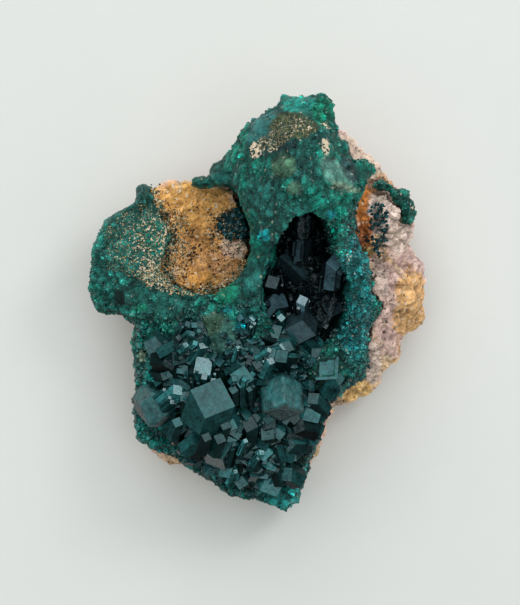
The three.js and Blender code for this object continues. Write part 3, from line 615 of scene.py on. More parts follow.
def crystal_corners(radius, length):
    """The corners of upright crystals: the tip, the six upper ones and the six lower ones."""
    radius = np.atleast_1d(radius)[:, None]
    length = np.atleast_1d(length)[:, None]
    angles = np.arange(6) * math.pi / 3
    drops = np.where(np.arange(6) % 2, 2, 1) * END_FACE_DROP
    ring_x = radius * np.cos(angles)
    ring_y = radius * np.sin(angles)
    tip = np.stack([radius * 0, radius * 0, radius * END_FACE_DROP], axis=2)
    upper = np.stack([ring_x, ring_y, radius * (END_FACE_DROP - drops)], axis=2)
    lower = np.stack([ring_x, ring_y, -length + ring_x * 0], axis=2)
    return np.concatenate([tip, upper, lower], axis=1)


CRYSTAL_FACES = (
    [(0, 1, 2, 3), (0, 3, 4, 5), (0, 5, 6, 1)]
    + [(1 + k, 7 + k, 7 + (k + 1) % 6, 1 + (k + 1) % 6) for k in range(6)]
    + [(12, 11, 10, 9, 8, 7)]
)


def lookup(normals):
    """How far normals look up to the light, which stands a little towards the dome."""
    return normals[:, 2] + 0.3 * normals[:, 1]


def face_light(corners, draw):
    """Painted light and shade on each face of each crystal: dark on the sides, lighter where it
    looks up, with a random spread.
    """
    made = []
    for face in CRYSTAL_FACES:
        first, second, third = (corners[:, face[k]] for k in range(3))
        normal = np.cross(second - first, third - first)
        normal /= np.linalg.norm(normal, axis=1)[:, None]
        lit = fade(lookup(normal), 0.4, 1.0)
        made.append((0.1 + 0.9 * lit) * draw.uniform(0.7, 1.3, len(corners)))
    return np.stack(made, axis=1)


def crystals_mesh(name, corners, tones, frost, draw):
    """One mesh of many crystals, from an array of their corners and each one's own look."""
    mesh = joined_mesh(name, corners, CRYSTAL_FACES)
    sizes = [len(face) for face in CRYSTAL_FACES]
    # Each face's colour carries its painted light and shade
    light = np.repeat(face_light(corners, draw), sizes, axis=1)
    colours = np.ones((*light.shape, 4))
    colours[..., :3] = tones[:, None, :] * light[..., None]
    layer = mesh.color_attributes.new("tone", "FLOAT_COLOR", "CORNER")
    layer.data.foreach_set("color", colours.ravel())
    write_value(mesh, "frost", np.repeat(frost, corners.shape[1]))
    for material in (END_MATERIAL, SIDE_MATERIAL):
        mesh.materials.append(bpy.data.materials[material])
    on_side = np.tile(np.arange(len(CRYSTAL_FACES)) >= END_FACES, len(corners))
    mesh.polygons.foreach_set("material_index", on_side.astype(np.int32))
    return mesh


def bevelled(name, mesh, width):
    """The mesh with its sharp edges slightly rounded."""
    sharp = fresh(name, mesh)
    bevel = sharp.modifiers.new("worn edges", "BEVEL")
    bevel.width = width
    bevel.segments = 1
    bevel.limit_method = "ANGLE"
    bevel.harden_normals = True
    for face in mesh.polygons:
        face.use_smooth = True
    return with_modifiers(sharp)


def beside(points, other):
    """How close each point is to another skin, from 1 beside it to 0, in uneven stretches."""
    others = read_points(other)
    tree = KDTree(len(others))
    for index, point in enumerate(others):
        tree.insert(point, index)
    tree.balance()
    away = np.array([tree.find(point)[2] for point in points])
    stretch = fade(soft_noise(points, 2.2, 91), -0.3, 0.4)
    across, along = (np.abs(points[:, k] - BAY_MIDDLE[k]) < BAY_REACH[k] for k in (0, 1))
    bay = across & along & (points[:, 2] > BAY_HEIGHT)
    return (1 - fade(away, 0.25, 1.3 * stretch + 0.3)) * (1 - 0.9 * bay)


def large_crystals(entries, colour, draw, companions=True):
    """Corners, tones and frost of the listed crystals, and of small ones grown on to them."""
    made = []
    tones = []
    frosts = []
    for x, y, z, radius, length, lean, towards, spin, light, frost in entries:
        turn = turned(lean, towards, spin)
        place = np.array([x, y, z])
        length = min(length, 1.6 * radius + 1.5) if lean > 45 else length
        made.append(crystal_corners(radius, length)[0] @ turn.T + place)
        # The listed lightness is partly the crystal's own tone and partly painted light and shade
        tones.append(np.array(colour) * light)
        frosts.append(frost)
        for _ in range(int(2 + 2.6 * radius) if companions else 0):
            angle = draw.uniform(0, 2 * math.pi)
            share = draw.uniform(0.14, 0.46)
            out = draw.uniform(0.72, 1.1) * radius
            step = np.array([out * math.cos(angle), out * math.sin(angle), 0])
            step[2] = -out * END_FACE_DROP * draw.uniform(0.9, 2.4)
            small = crystal_corners(radius * share, length * 0.6)[0] + step
            made.append(small @ turn.T + place)
            tones.append(np.array(colour) * min(light, 1.0) * draw.uniform(0.25, 1.0))
            frosts.append(frost * 0.6)
    return np.array(made), np.array(tones), np.array(frosts)


def filling_crystals(entries, draw):
    """Crystals that fill the gaps between the listed ones, a little lower than their neighbours."""
    listed = np.array(entries)
    low, high = listed[:, :2].min(axis=0), listed[:, :2].max(axis=0)
    flat = draw.uniform(low, high, (6 * FILLERS, 2))
    away = np.linalg.norm(flat[:, None, :] - listed[None, :, :2], axis=2)
    near = np.argsort(away, axis=1)[:, :4]
    reach = np.take_along_axis(away, near, axis=1)
    share = 1 / (reach + 0.3)
    share /= share.sum(axis=1)[:, None]
    middle = (listed[near, :2] * share[..., None]).sum(axis=1)
    height = (listed[near, 2] * share).sum(axis=1) - draw.uniform(0.2, 1.6, len(flat))
    kept = (reach[:, 0] < 2.8) & (np.linalg.norm(middle - flat, axis=1) < 1.1)
    kept &= (flat[:, 1] < FIELD_TOP) & (flat[:, 0] > FIELD_LEFT)
    kept &= flat[:, 1] > np.interp(flat[:, 0], *FIELD_LOW)
    kept &= flat[:, 0] < np.interp(flat[:, 1], *FIELD_RIGHT)
    kept &= ~inside_crystals(np.column_stack([flat, height]), entries, -0.3)
    chosen = np.flatnonzero(kept)[:FILLERS]
    count = len(chosen)
    return np.column_stack([
        flat[chosen], height[chosen],
        0.4 + 1.3 * draw.beta(1.4, 2.2, count), np.full(count, 3.0), draw.normal(51, 15, count),
        draw.uniform(0, 360, count), draw.normal(0, 14, count),
        draw.uniform(0.08, 0.85, count), draw.uniform(0.05, 0.5, count),
    ]).tolist()


def worn_lumps(name, entries, colour):
    """The listed crystals worn to rounded lumps with a dull uneven skin."""
    corners = np.array([
        crystal_corners(radius, length)[0] @ turned(lean, towards, spin).T + np.array([x, y, z])
        for x, y, z, radius, length, lean, towards, spin, _, _ in entries
    ])
    count = len(entries)
    draw = np.random.default_rng(1)
    plain = crystals_mesh(name, corners, np.ones((count, 3)), np.ones(count), draw)
    piece = even_piece(name, plain, WORN_FACE * MM, WORN_STEPS)
    shaped = piece.data
    points, normals = surface(shaped)
    lumps, own = knobs(points, 1.1, 81)
    rise = 0.12 * (lumps - 0.7) + 0.12 * soft_noise(points, 1.6, 83)
    rise += 0.05 * soft_noise(points, 0.5, 85)
    write_points(shaped, points + normals * rise[:, None])
    # Painted shade: the lumps are darker on their sides and lighter where they look up, with a
    # random tone per knob and noise
    lit = 0.12 + 0.88 * fade(lookup(normals), 0.1, 0.95)
    shade = lit * (0.85 + 0.3 * own) * (1 + 0.25 * soft_noise(points, 0.7, 87))
    write_colour(shaped, "tone", np.array(colour) * shade[:, None])
    write_value(shaped, "frost", np.full(len(points), 0.9))
    return piece


def surface_draw(mesh, count, weight, draw):
    """Places drawn evenly over a mesh, thinned by weight, with their normals and tones."""
    mesh.calc_loop_triangles()
    corners = np.empty(len(mesh.loop_triangles) * 3, dtype=np.int64)
    mesh.loop_triangles.foreach_get("vertices", corners)
    corners = corners.reshape(-1, 3)
    points = read_points(mesh)
    sides = points[corners]
    cross = np.cross(sides[:, 1] - sides[:, 0], sides[:, 2] - sides[:, 0])
    area = np.linalg.norm(cross, axis=1) * weight[corners].mean(axis=1)
    chosen = draw.choice(len(corners), size=count, p=area / area.sum())
    share = draw.dirichlet((1, 1, 1), size=count)[:, :, None]
    place = (sides[chosen] * share).sum(axis=1)
    normal = (read_normals(mesh)[corners[chosen]] * share).sum(axis=1)
    tones = (read_colour(mesh, "tone")[corners[chosen]] * share).sum(axis=1)
    return place, normal / np.linalg.norm(normal, axis=1)[:, None], tones


def standing(axes, spins):
    """Rotations that turn upright crystals to those axes, each after its own spin."""
    helper = np.where(np.abs(axes[:, 2:]) < 0.9, [[0, 0, 1.0]], [[1.0, 0, 0]])
    first = np.cross(helper, axes)
    first /= np.linalg.norm(first, axis=1)[:, None]
    second = np.cross(axes, first)
    cos, sin = np.cos(spins)[:, None], np.sin(spins)[:, None]
    return np.stack([first * cos + second * sin, second * cos - first * sin, axes], axis=2)


def druse_corners(place, normal, radii, lean, draw):
    """Corners of small crystals standing on a surface, each leaning at random."""
    count = len(place)
    stray = draw.normal(size=(count, 3))
    stray -= (stray * normal).sum(axis=1)[:, None] * normal
    stray /= np.linalg.norm(stray, axis=1)[:, None]
    angle = np.radians(draw.uniform(0, lean, count))[:, None]
    axes = normal * np.cos(angle) + stray * np.sin(angle)
    radius = radii[0] + (radii[1] - radii[0]) * draw.beta(1.3, 2.6, count)
    turns = standing(axes, draw.uniform(0, 2 * math.pi, count))
    upright = crystal_corners(radius, radius * 1.6)
    raised = place + axes * (radius * draw.uniform(0.1, 0.75, count))[:, None]
    return np.einsum("nij,nkj->nki", turns, upright) + raised[:, None, :]


def inside_crystals(points, entries, margin):
    """Whether each point lies in one of the listed crystals, or within the margin of it."""
    inside = np.zeros(len(points), dtype=bool)
    angles = (np.arange(6) + 0.5) * math.pi / 3
    sides = np.stack([np.cos(angles), np.sin(angles)])
    for x, y, z, radius, length, lean, towards, spin, _, _ in entries:
        own = (points - np.array([x, y, z])) @ turned(lean, towards, spin)
        across = (own[:, :2] @ sides).max(axis=1) < radius * math.cos(math.pi / 6) + margin
        along = (own[:, 2] > -length) & (own[:, 2] < radius * END_FACE_DROP + margin)
        inside |= across & along
    return inside


def edge_places(skins, draw):
    """Places along the bare rock's edge, at the height of the skins on its two sides."""
    corners = np.array(BARE_EDGE)
    steps = np.diff(corners, axis=0)
    lengths = np.linalg.norm(steps, axis=1)
    chosen = draw.choice(len(steps), EDGE_GRAINS, p=lengths / lengths.sum())
    flat = corners[chosen] + steps[chosen] * draw.uniform(0, 1, (EDGE_GRAINS, 1))
    flat = flat + draw.normal(0, EDGE_WIDTH / 2, flat.shape)
    heights = []
    for skin in skins:
        points = read_points(skin)
        points = points[(read_normals(skin)[:, 2] > 0.4) & (points[:, 2] > 10)]
        low, high = np.array(EDGE_BOX).T
        points = points[((points[:, :2] > low) & (points[:, :2] < high)).all(axis=1)]
        distance = np.linalg.norm(flat[:, None, :] - points[None, :, :2], axis=2)
        nearest = np.argpartition(distance, 8, axis=1)[:, :8]
        heights.append(points[nearest, 2].mean(axis=1))
    low, high = np.minimum(*heights), np.maximum(*heights)
    share = np.where(high - low < EDGE_STEP, 0.5, 0.08)
    height = low + (high - low) * share + draw.uniform(-0.35, 0.05, EDGE_GRAINS)
    return np.column_stack([flat, height])


GRAIN_SHAPE = ((0, 0, 1), (0, 0, -1), (1, 0, 0), (0, 1, 0), (-1, 0, 0), (0, -1, 0))
GRAIN_FACES = tuple(
    (top, 2 + k, 2 + (k + 1) % 4) if top == 0 else (top, 2 + (k + 1) % 4, 2 + k)
    for top in (0, 1)
    for k in range(4)
)


def grains_mesh(name, place, tones, widest, draw):
    """One mesh of small eight-sided grains at those places."""
    count = len(place)
    axes = draw.normal(size=(count, 3))
    axes /= np.linalg.norm(axes, axis=1)[:, None]
    turns = standing(axes, draw.uniform(0, 2 * math.pi, count))
    radii = draw.uniform(LEAST_GRAIN, widest, (count, 1, 3))
    shapes = np.array(GRAIN_SHAPE)[None] * radii
    corners = np.einsum("nij,nkj->nki", turns, shapes) + place[:, None, :]
    mesh = joined_mesh(name, corners, GRAIN_FACES)
    write_colour(mesh, "tone", np.repeat(tones, len(GRAIN_SHAPE), axis=0))
    return mesh


def in_hollow(points):
    """How far inside the hollow each point is, from 0 outside to 1."""
    inside = np.zeros(len(points))
    for middle, reach in HOLLOW_ROUNDS:
        distance = plan_distance(points, middle, reach)
        inside = np.maximum(inside, 1 - fade(distance, 0.84, 1.02))
    return inside


def crust_tones(points, normals):
    """The crust's colour at each point: its patches, and painted shade in the gaps of the field and
    in the hollow.
    """
    drift = mottle(points, 4.5, 1.8, 61, -0.5, 0.6)[:, None]
    ground = np.array(tone(6, 138, 118)) * drift + np.array(tone(32, 110, 102)) * (1 - drift)
    # Painted shade on the upward faces of the crust between the field's crystals
    field = fade(-points[:, 1], 4.0, 8.0) * fade(points[:, 0], -14.8, -12.4)
    field = field * (1 - fade(points[:, 0], 9.5, 12.0)) * fade(normals[:, 2], 0.1, 0.6)
    ground = ground * (1 - FIELD_SHADE * field[:, None])
    colours = patches_colour(points, normals, ground, CRUST_PATCHES)
    # Painted shade in the hollow, fading out towards its mouth
    deep = (in_hollow(points) * (1 - fade(points[:, 2], *HOLLOW_MOUTH)))[:, None]
    return colours * (1 - HOLLOW_SHADE * deep) + np.array(HOLLOW_TONE) * HOLLOW_SHADE * deep


def group_tree(name, inputs, outputs):
    """An empty shader node group with those sockets, or None if it is already there."""
    if name in bpy.data.node_groups:
        return None
    tree = bpy.data.node_groups.new(name, "ShaderNodeTree")
    for label, kind, default in inputs:
        socket = tree.interface.new_socket(label, in_out="INPUT", socket_type=kind)
        socket.default_value = default
    for label, kind in outputs:
        tree.interface.new_socket(label, in_out="OUTPUT", socket_type=kind)
    return tree


class Wiring:
    """A small helper that adds nodes to a tree and links them."""

    def __init__(self, tree):
        self.tree = tree

    def add(self, kind, settings=None, **inputs):
        """A node of that kind, with settings on it and values or sockets on its inputs."""
        node = self.tree.nodes.new(kind)
        for key, value in (settings or {}).items():
            setattr(node, key, value)
        self.fill(node, **inputs)
        return node

    def fill(self, node, **inputs):
        """Puts values or sockets on a node's named inputs."""
        for key, value in inputs.items():
            self.put(node.inputs[key.replace("_", " ")], value)

    def put(self, socket, value):
        """Links a socket to another, or gives it a plain value."""
        if isinstance(value, bpy.types.NodeSocket):
            self.tree.links.new(value, socket)
        else:
            socket.default_value = value

    def math(self, operation, first, second=0.0):
        """The result socket of a Math node."""
        node = self.tree.nodes.new("ShaderNodeMath")
        node.operation = operation
        self.put(node.inputs[0], first)
        self.put(node.inputs[1], second)
        return node.outputs[0]

    def blend(self, share, first, second, mode="MIX"):
        """The result socket of a colour Mix node."""
        node = self.tree.nodes.new("ShaderNodeMix")
        node.data_type = "RGBA"
        node.blend_type = mode
        self.put(node.inputs[0], share)
        self.put(node.inputs[MIX_FIRST], first)
        self.put(node.inputs[MIX_SECOND], second)
        return node.outputs[MIX_RESULT]

    def steps(self, value, low, high):
        """Rises from 0 to 1 as value goes from low to high."""
        smooth = {"interpolation_type": "SMOOTHSTEP"}
        node = self.add("ShaderNodeMapRange", smooth, Value=value, From_Min=low, From_Max=high)
        return node.outputs[0]

    def line(self, start, slope, value):
        """The start and slope times the value."""
        return self.math("ADD", start, self.math("MULTIPLY", value, slope))

    def place(self):
        """Where a point lies on its piece."""
        return self.add("ShaderNodeTexCoord").outputs["Object"]

    def tones(self):
        """The tones that the mesh keeps."""
        return self.add("ShaderNodeVertexColor", {"layer_name": "tone"}).outputs["Color"]

    def kept(self, name):
        """The numbers that the mesh keeps under that name."""
        return self.add("ShaderNodeAttribute", {"attribute_name": name}).outputs["Fac"]

    def group(self, tree, **inputs):
        """The outputs of a node group, with its inputs set."""
        return self.add("ShaderNodeGroup", {"node_tree": tree}, **inputs).outputs

    def bump(self, height, distance, strength):
        """The normal of a Bump node."""
        node = self.add("ShaderNodeBump", Height=height, Distance=distance, Strength=strength)
        return node.outputs[0]


def stone_grain():
    """Node group: uneven light and dark grain over a colour, with a height for bump. The dark grain
    lies low in that bump, so it is partly the grain's own colour and partly painted shade in its
    small hollows.
    """
    tree = group_tree(
        "Stone grain",
        [
            ("Colour", "NodeSocketColor", (0.5, 0.5, 0.5, 1)),
            ("Grain Size", "NodeSocketFloat", 0.0004),
            ("Contrast", "NodeSocketFloat", 0.3),
        ],
        [("Colour", "NodeSocketColor"), ("Height", "NodeSocketFloat")],
    )
    if tree is None:
        return bpy.data.node_groups["Stone grain"]
    wire = Wiring(tree)
    given = tree.nodes.new("NodeGroupInput").outputs
    scale = wire.math("DIVIDE", 1.0, given["Grain Size"])
    place = wire.place()
    fine = wire.add("ShaderNodeTexNoise", Vector=place, Scale=scale, Detail=3.0, Roughness=0.6)
    half = wire.math("MULTIPLY", scale, 0.31)
    broad = wire.add("ShaderNodeTexNoise", Vector=place, Scale=half, Detail=2.0, Roughness=0.5)
    cells = wire.add("ShaderNodeTexVoronoi", Vector=place, Scale=wire.math("MULTIPLY", scale, 0.7))
    mixed = wire.line(fine.outputs["Fac"], 0.8, broad.outputs["Fac"])
    mixed = wire.math("SUBTRACT", mixed, 0.9)
    swing = wire.math("MULTIPLY", mixed, wire.math("MULTIPLY", given["Contrast"], 4.0))
    gain = wire.math("ADD", 1.0, swing)
    clear = wire.math("MAXIMUM", gain, 0.05)
    whole = wire.add("ShaderNodeCombineColor", Red=clear, Green=clear, Blue=clear)
    colour = wire.blend(1.0, given["Colour"], whole.outputs[0], "MULTIPLY")
    height = wire.math("SUBTRACT", mixed, wire.math("MULTIPLY", cells.outputs["Distance"], 0.5))
    wire.add("NodeGroupOutput", Colour=colour, Height=height)
    return tree


def grain_speckle():
    """Node group: scattered grains of a second colour, as many as the share asks for."""
    tree = group_tree(
        "Grain speckle",
        [
            ("Colour", "NodeSocketColor", (0.5, 0.5, 0.5, 1)),
            ("Grain Colour", "NodeSocketColor", (0.8, 0.7, 0.6, 1)),
            ("Share", "NodeSocketFloat", 0.0),
            ("Grain Size", "NodeSocketFloat", 0.0005),
        ],
        [("Colour", "NodeSocketColor"), ("Mask", "NodeSocketFloat")],
    )
    if tree is None:
        return bpy.data.node_groups["Grain speckle"]
    wire = Wiring(tree)
    given = tree.nodes.new("NodeGroupInput").outputs
    scale = wire.math("DIVIDE", 1.0, given["Grain Size"])
    place = wire.place()
    stir = wire.add("ShaderNodeTexNoise", Vector=place, Scale=scale, Detail=1.0)
    moved = wire.add("ShaderNodeVectorMath", {"operation": "MULTIPLY_ADD"})
    for socket, value in zip(moved.inputs, (stir.outputs["Color"], GRAIN_STIR, place)):
        wire.put(socket, value)
    cells = wire.add("ShaderNodeTexVoronoi", Vector=moved.outputs[0], Scale=scale)
    own = wire.add("ShaderNodeSeparateColor", Color=cells.outputs["Color"]).outputs[0]
    mask = wire.steps(wire.math("SUBTRACT", given["Share"], own), -0.03, 0.03)
    colour = wire.blend(mask, given["Colour"], given["Grain Colour"])
    wire.add("NodeGroupOutput", Colour=colour, Mask=mask)
    return tree


def blank_material(name):
    """A new material with its Principled BSDF, and the wiring helper for its tree."""
    material = bpy.data.materials.get(name)
    if material is not None:
        bpy.data.materials.remove(material)
    material = bpy.data.materials.new(name)
    material.use_nodes = True
    shader = material.node_tree.nodes["Principled BSDF"]
    return material, shader, Wiring(material.node_tree)


def crust_material():
    """Green crust: its own tones, light grains where the rock shows through, and fine sparkle."""
    material, shader, wire = blank_material(CRUST_MATERIAL)
    look = bpy.context.scene.specimen_look
    cream = wire.kept("cream")
    grain = wire.group(stone_grain(), Colour=wire.tones(), Grain_Size=0.00024, Contrast=0.55)
    dark = wire.group(
        grain_speckle(), Colour=grain["Colour"], Grain_Colour=(0.012, 0.03, 0.026, 1),
        Share=wire.math("MULTIPLY", cream, 0.5), Grain_Size=0.00024,
    )
    light = wire.group(
        grain_speckle(), Colour=dark["Colour"], Grain_Colour=(*look.cream, 1),
        Share=wire.math("MULTIPLY", cream, 0.7), Grain_Size=0.00028,
    )
    wire.fill(
        shader, Base_Color=light["Colour"], Roughness=wire.line(0.36, 0.4, light["Mask"]),
        IOR=1.45, Specular_Tint=(0.55, 0.95, 0.9, 1),
        Normal=wire.bump(grain["Height"], 0.0002, 1.0),
    )
    return material


def grain_material():
    """Small mineral grains, each in its own tone."""
    material, shader, wire = blank_material("Mineral grains")
    grain = wire.group(stone_grain(), Colour=wire.tones(), Grain_Size=0.0002, Contrast=0.2)
    wire.fill(shader, Base_Color=grain["Colour"], Roughness=0.6, IOR=1.5)
    return material


def crystal_material():
    """End faces of the crystals: dark glassy green, frosted and dusty where they are worn."""
    material, shader, wire = blank_material(END_MATERIAL)
    frost = wire.kept("frost")
    grain = wire.group(stone_grain(), Colour=wire.tones(), Grain_Size=0.0007, Contrast=0.5)
    place = wire.place()
    wave = wire.add(
        "ShaderNodeTexWave", {"wave_type": "BANDS", "bands_direction": "DIAGONAL"},
        Vector=place, Scale=500.0, Distortion=7.0, Detail=2.0,
    )
    veil = wire.add("ShaderNodeTexNoise", Vector=place, Scale=1500.0, Detail=4.0, Roughness=0.65)
    dust = wire.steps(veil.outputs["Fac"], 0.5, 0.72)
    worn = wire.math("MULTIPLY", dust, wire.line(0.1, 0.3, frost))
    dusty = wire.blend(worn, grain["Colour"], (0.16, 0.25, 0.26, 1))
    crumbs = wire.group(
        grain_speckle(), Colour=dusty, Grain_Colour=(0.11, 0.19, 0.19, 1),
        Share=wire.line(0.01, 0.05, frost), Grain_Size=0.0001,
    )
    lines = wire.math("MULTIPLY", wave.outputs["Fac"], 0.14)
    pits = wire.math("MULTIPLY", wire.math("MULTIPLY", veil.outputs["Fac"], frost), 1.6)
    height = wire.math("ADD", wire.math("ADD", lines, grain["Height"]), pits)
    wire.fill(
        shader, Base_Color=crumbs["Colour"], IOR=1.5, Specular_Tint=(0.75, 0.94, 1.0, 1),
        Roughness=wire.line(wire.line(0.1, 0.34, frost), 0.12, dust),
        Normal=wire.bump(height, 0.00007, 0.6),
    )
    return material


def side_material():
    """Prism sides of the crystals: nearly black, with little gloss."""
    material, shader, wire = blank_material(SIDE_MATERIAL)
    grain = wire.group(stone_grain(), Colour=wire.tones(), Grain_Size=0.0004, Contrast=0.6)
    wire.fill(
        shader, Base_Color=grain["Colour"], Roughness=0.35, Specular_IOR_Level=0.06,
        Normal=wire.bump(grain["Height"], 0.00005, 0.5),
    )
    return material


def rock_material():
    """Granular rock: its own tones, dark grains, pores and a coarse bump."""
    material, shader, wire = blank_material("Matrix rock")
    look = bpy.context.scene.specimen_look
    grain = wire.group(stone_grain(), Colour=wire.tones(), Grain_Size=0.00038, Contrast=0.36)
    pale = wire.group(
        grain_speckle(), Colour=grain["Colour"], Grain_Colour=(*look.cream, 1),
        Share=0.05, Grain_Size=0.00032,
    )
    dark = wire.group(
        grain_speckle(), Colour=pale["Colour"], Grain_Colour=(*look.speck, 1),
        Share=wire.line(0.015, 0.26, wire.kept("speck")), Grain_Size=0.00024,
    )
    height = wire.line(grain["Height"], -0.4, dark["Mask"])
    wire.fill(
        shader, Base_Color=dark["Colour"], Roughness=0.85, IOR=1.45,
        Normal=wire.bump(height, 0.00042, 1.0),
    )
    return material


def floor_material():
    """Matte pale paper."""
    material, shader, wire = blank_material("Pale paper")
    floor = (*bpy.context.scene.specimen_stage.floor, 1)
    grain = wire.group(stone_grain(), Colour=floor, Grain_Size=0.004, Contrast=0.006)
    wire.fill(shader, Base_Color=grain["Colour"], Roughness=0.9, Specular_IOR_Level=0.2)
    return material


class SpecimenLook(bpy.types.PropertyGroup):
    """Sizes and colours of the specimen."""

    skin: bpy.props.FloatProperty(
        name="Skin face", description="Face size of the crust and the rock",
        default=0.0003, min=0.0002, max=0.001, subtype="DISTANCE", unit="LENGTH", precision=5,
    )
    bevel: bpy.props.FloatProperty(
        name="Crystal edge", description="Rounding along the large crystals' edges",
        default=0.00005, min=0.0, max=0.0005, subtype="DISTANCE", unit="LENGTH", precision=5,
    )
    crystal: bpy.props.FloatVectorProperty(
        name="Crystal", description="Colour of the large crystals",
        default=tone(42, 100, 102), subtype="COLOR", min=0, max=1,
    )
    dark_crystal: bpy.props.FloatVectorProperty(
        name="Hollow crystal", description="Colour of the crystals in the hollow",
        default=tone(48, 72, 80), subtype="COLOR", min=0, max=1,
    )
    cream: bpy.props.FloatVectorProperty(
        name="Light grain", description="Colour of the light grains",
        default=CREAM, subtype="COLOR", min=0, max=1,
    )
    speck: bpy.props.FloatVectorProperty(
        name="Dark grain", description="Colour of the dark grains",
        default=tone(52, 40, 30), subtype="COLOR", min=0, max=1,
    )


class SpecimenStage(bpy.types.PropertyGroup):
    """The floor, the lights and the camera."""

    floor: bpy.props.FloatVectorProperty(
        name="Floor", description="Colour of the floor",
        default=(0.78, 0.8, 0.778), subtype="COLOR", min=0, max=1,
    )
    sky: bpy.props.FloatProperty(
        name="All-round light", description="Strength of the light from all round",
        default=0.42, min=0,
    )
    top: bpy.props.FloatProperty(
        name="Top light", description="Power of the wide light overhead",
        default=3.25, min=0, unit="POWER",
    )
    back: bpy.props.FloatProperty(
        name="Back light", description="Power of the wide light behind",
        default=1.5, min=0, unit="POWER",
    )
    side: bpy.props.FloatProperty(
        name="Side light", description="Power of the light at the upper right",
        default=0.42, min=0, unit="POWER",
    )
    camera_height: bpy.props.FloatProperty(
        name="Camera height", description="Height of the camera over the floor",
        default=0.42, min=0.1, subtype="DISTANCE", unit="LENGTH",
    )
    lens: bpy.props.FloatProperty(
        name="Lens", description="Focal length in millimetres", default=182.1, min=20, max=400,
    )


class SPECIMEN_OT_crust(bpy.types.Operator):
    """Grow the green crust over its CAD solid"""

    bl_idname = "specimen.crust"
    bl_label = "Crust"

    def execute(self, context):
        look = context.scene.specimen_look
        skin = even_skin("dioptase_crust", look.skin, "crust_skin")
        mesh = skin.data
        points, normals = surface(mesh)
        rough = 1 - 0.8 * patches_mask(points, CALM_PATCHES, CALM_SEED)
        (large, _), (middling, own), (small, _) = (knobs(points, *each) for each in CRUST_KNOBS)
        rise = 0.2 * soft_noise(points, 3.0, 1) + 0.42 * (large - 0.7)
        rise += (0.22 * (middling - 0.7) + 0.07 * (small - 0.6)) * rough
        crystals = inside_crystals(points, FIELD_CRYSTALS + HOLLOW_CRYSTALS, 0.2)
        rise = np.where(crystals, -CRYSTAL_BED, rise - 0.05)
        write_points(mesh, points + normals * rise[:, None])
        points, normals = surface(mesh)
        # Painted shade in the clefts and painted light on the knobs, with each knob's own random
        # tone
        cleft = (0.35 * large + 0.4 * middling + 0.25 * small - 0.68) * (0.4 + 0.6 * rough)
        shade = (1.05 + 2.1 * cleft) * (0.7 + 0.6 * own)
        tones = crust_tones(points, normals) * np.clip(shade, *CRUST_SHADES)[:, None]
        write_colour(mesh, "tone", tones)
        cream = patches_mask(points, CREAM_PATCHES, CREAM_SEED) * fade(normals[:, 2], -0.1, 0.3)
        write_value(mesh, "cream", cream)
        finished(skin, crust_material(), "dioptase", "dioptase_crust")
        return {"FINISHED"}


class SPECIMEN_OT_rock(bpy.types.Operator):
    """Weather the rock that the crust stands on"""

    bl_idname = "specimen.rock"
    bl_label = "Matrix rock"

    def execute(self, context):
        look = context.scene.specimen_look
        skin = even_skin("matrix_rock", look.skin, "rock_skin")
        mesh = skin.data
        points, normals = surface(mesh)
        (large, own), (small, _) = (knobs(points, *each) for each in ROCK_KNOBS)
        pores = fade(soft_noise(points, 1.2, 37), 0.4, 0.8)
        fine = soft_noise(points, 0.55, 39)
        rise = 0.34 * soft_noise(points, 2.8, 31) + 0.48 * (large - 0.7) + 0.26 * (small - 0.6)
        rise += 0.15 * fine
        rise -= 0.4 * pores
        resting = fade(points[:, 2], *RESTING_HEIGHTS)
        write_points(mesh, points + normals * ((rise + 0.1) * resting)[:, None])
        points, normals = surface(mesh)
        drift = mottle(points, 5.0, 1.6, 73, -0.4, 0.5)[:, None]
        stain = mottle(points, 4.0, 1.1, 75, 0.15, 0.6)[:, None]
        ground = np.array(TAN) * drift + np.array(MAUVE) * (1 - drift)
        ground = ground * (1 - 0.6 * stain) + 0.6 * np.array(OCHRE) * stain
        colours = patches_colour(points, normals, ground, ROCK_PATCHES)
        # Painted shade in the clefts and pores and painted light on the knobs and bumps, with
        # random tone from each knob and from noise
        cleft = 0.5 * large + 0.5 * small - 0.68 - 0.3 * pores
        shade = (1.14 + 1.0 * cleft) * (0.9 + 0.2 * own) * (1 + 0.1 * soft_noise(points, 2.4, 71))
        shade += 0.1 * fine
        write_colour(mesh, "tone", colours * np.clip(shade, *ROCK_SHADES)[:, None])
        clusters = 0.25 + 1.5 * mottle(points, 1.2, 0.5, 77, -0.1, 0.6)
        write_value(mesh, "speck", patches_mask(points, SPECK_PATCHES, SPECK_SEED) * clusters)
        finished(skin, rock_material(), "matrix", "matrix_rock")
        return {"FINISHED"}


class SPECIMEN_OT_edge(bpy.types.Operator):
    """Grow the green patches on the rock's edge"""

    bl_idname = "specimen.edge"
    bl_label = "Edge dioptase"

    def execute(self, context):
        skin = even_skin("edge_dioptase", EDGE_SKIN_FACE, "edge_skin")
        mesh = skin.data
        points, normals = surface(mesh)
        (large, own), (small, _) = (knobs(points, *each) for each in EDGE_KNOBS)
        rise = 0.4 * (large - 0.8) + 0.12 * (small - 0.6) - 0.25
        write_points(mesh, points + normals * rise[:, None])
        # Painted shade in the clefts and painted light on the knobs, with each knob's own random
        # tone
        shade = (1 + 1.6 * (0.6 * large + 0.4 * small - 0.68)) * (0.84 + 0.32 * own)
        tones = np.array(tone(30, 118, 104)) * np.clip(shade, *CRUST_SHADES)[:, None]
        write_colour(mesh, "tone", tones)
        write_value(mesh, "cream", 0.6 * fade(soft_noise(points, 1.6, 49), 0.25, 0.5))
        finished(skin, bpy.data.materials[CRUST_MATERIAL], "dioptase", "edge_dioptase")
        return {"FINISHED"}


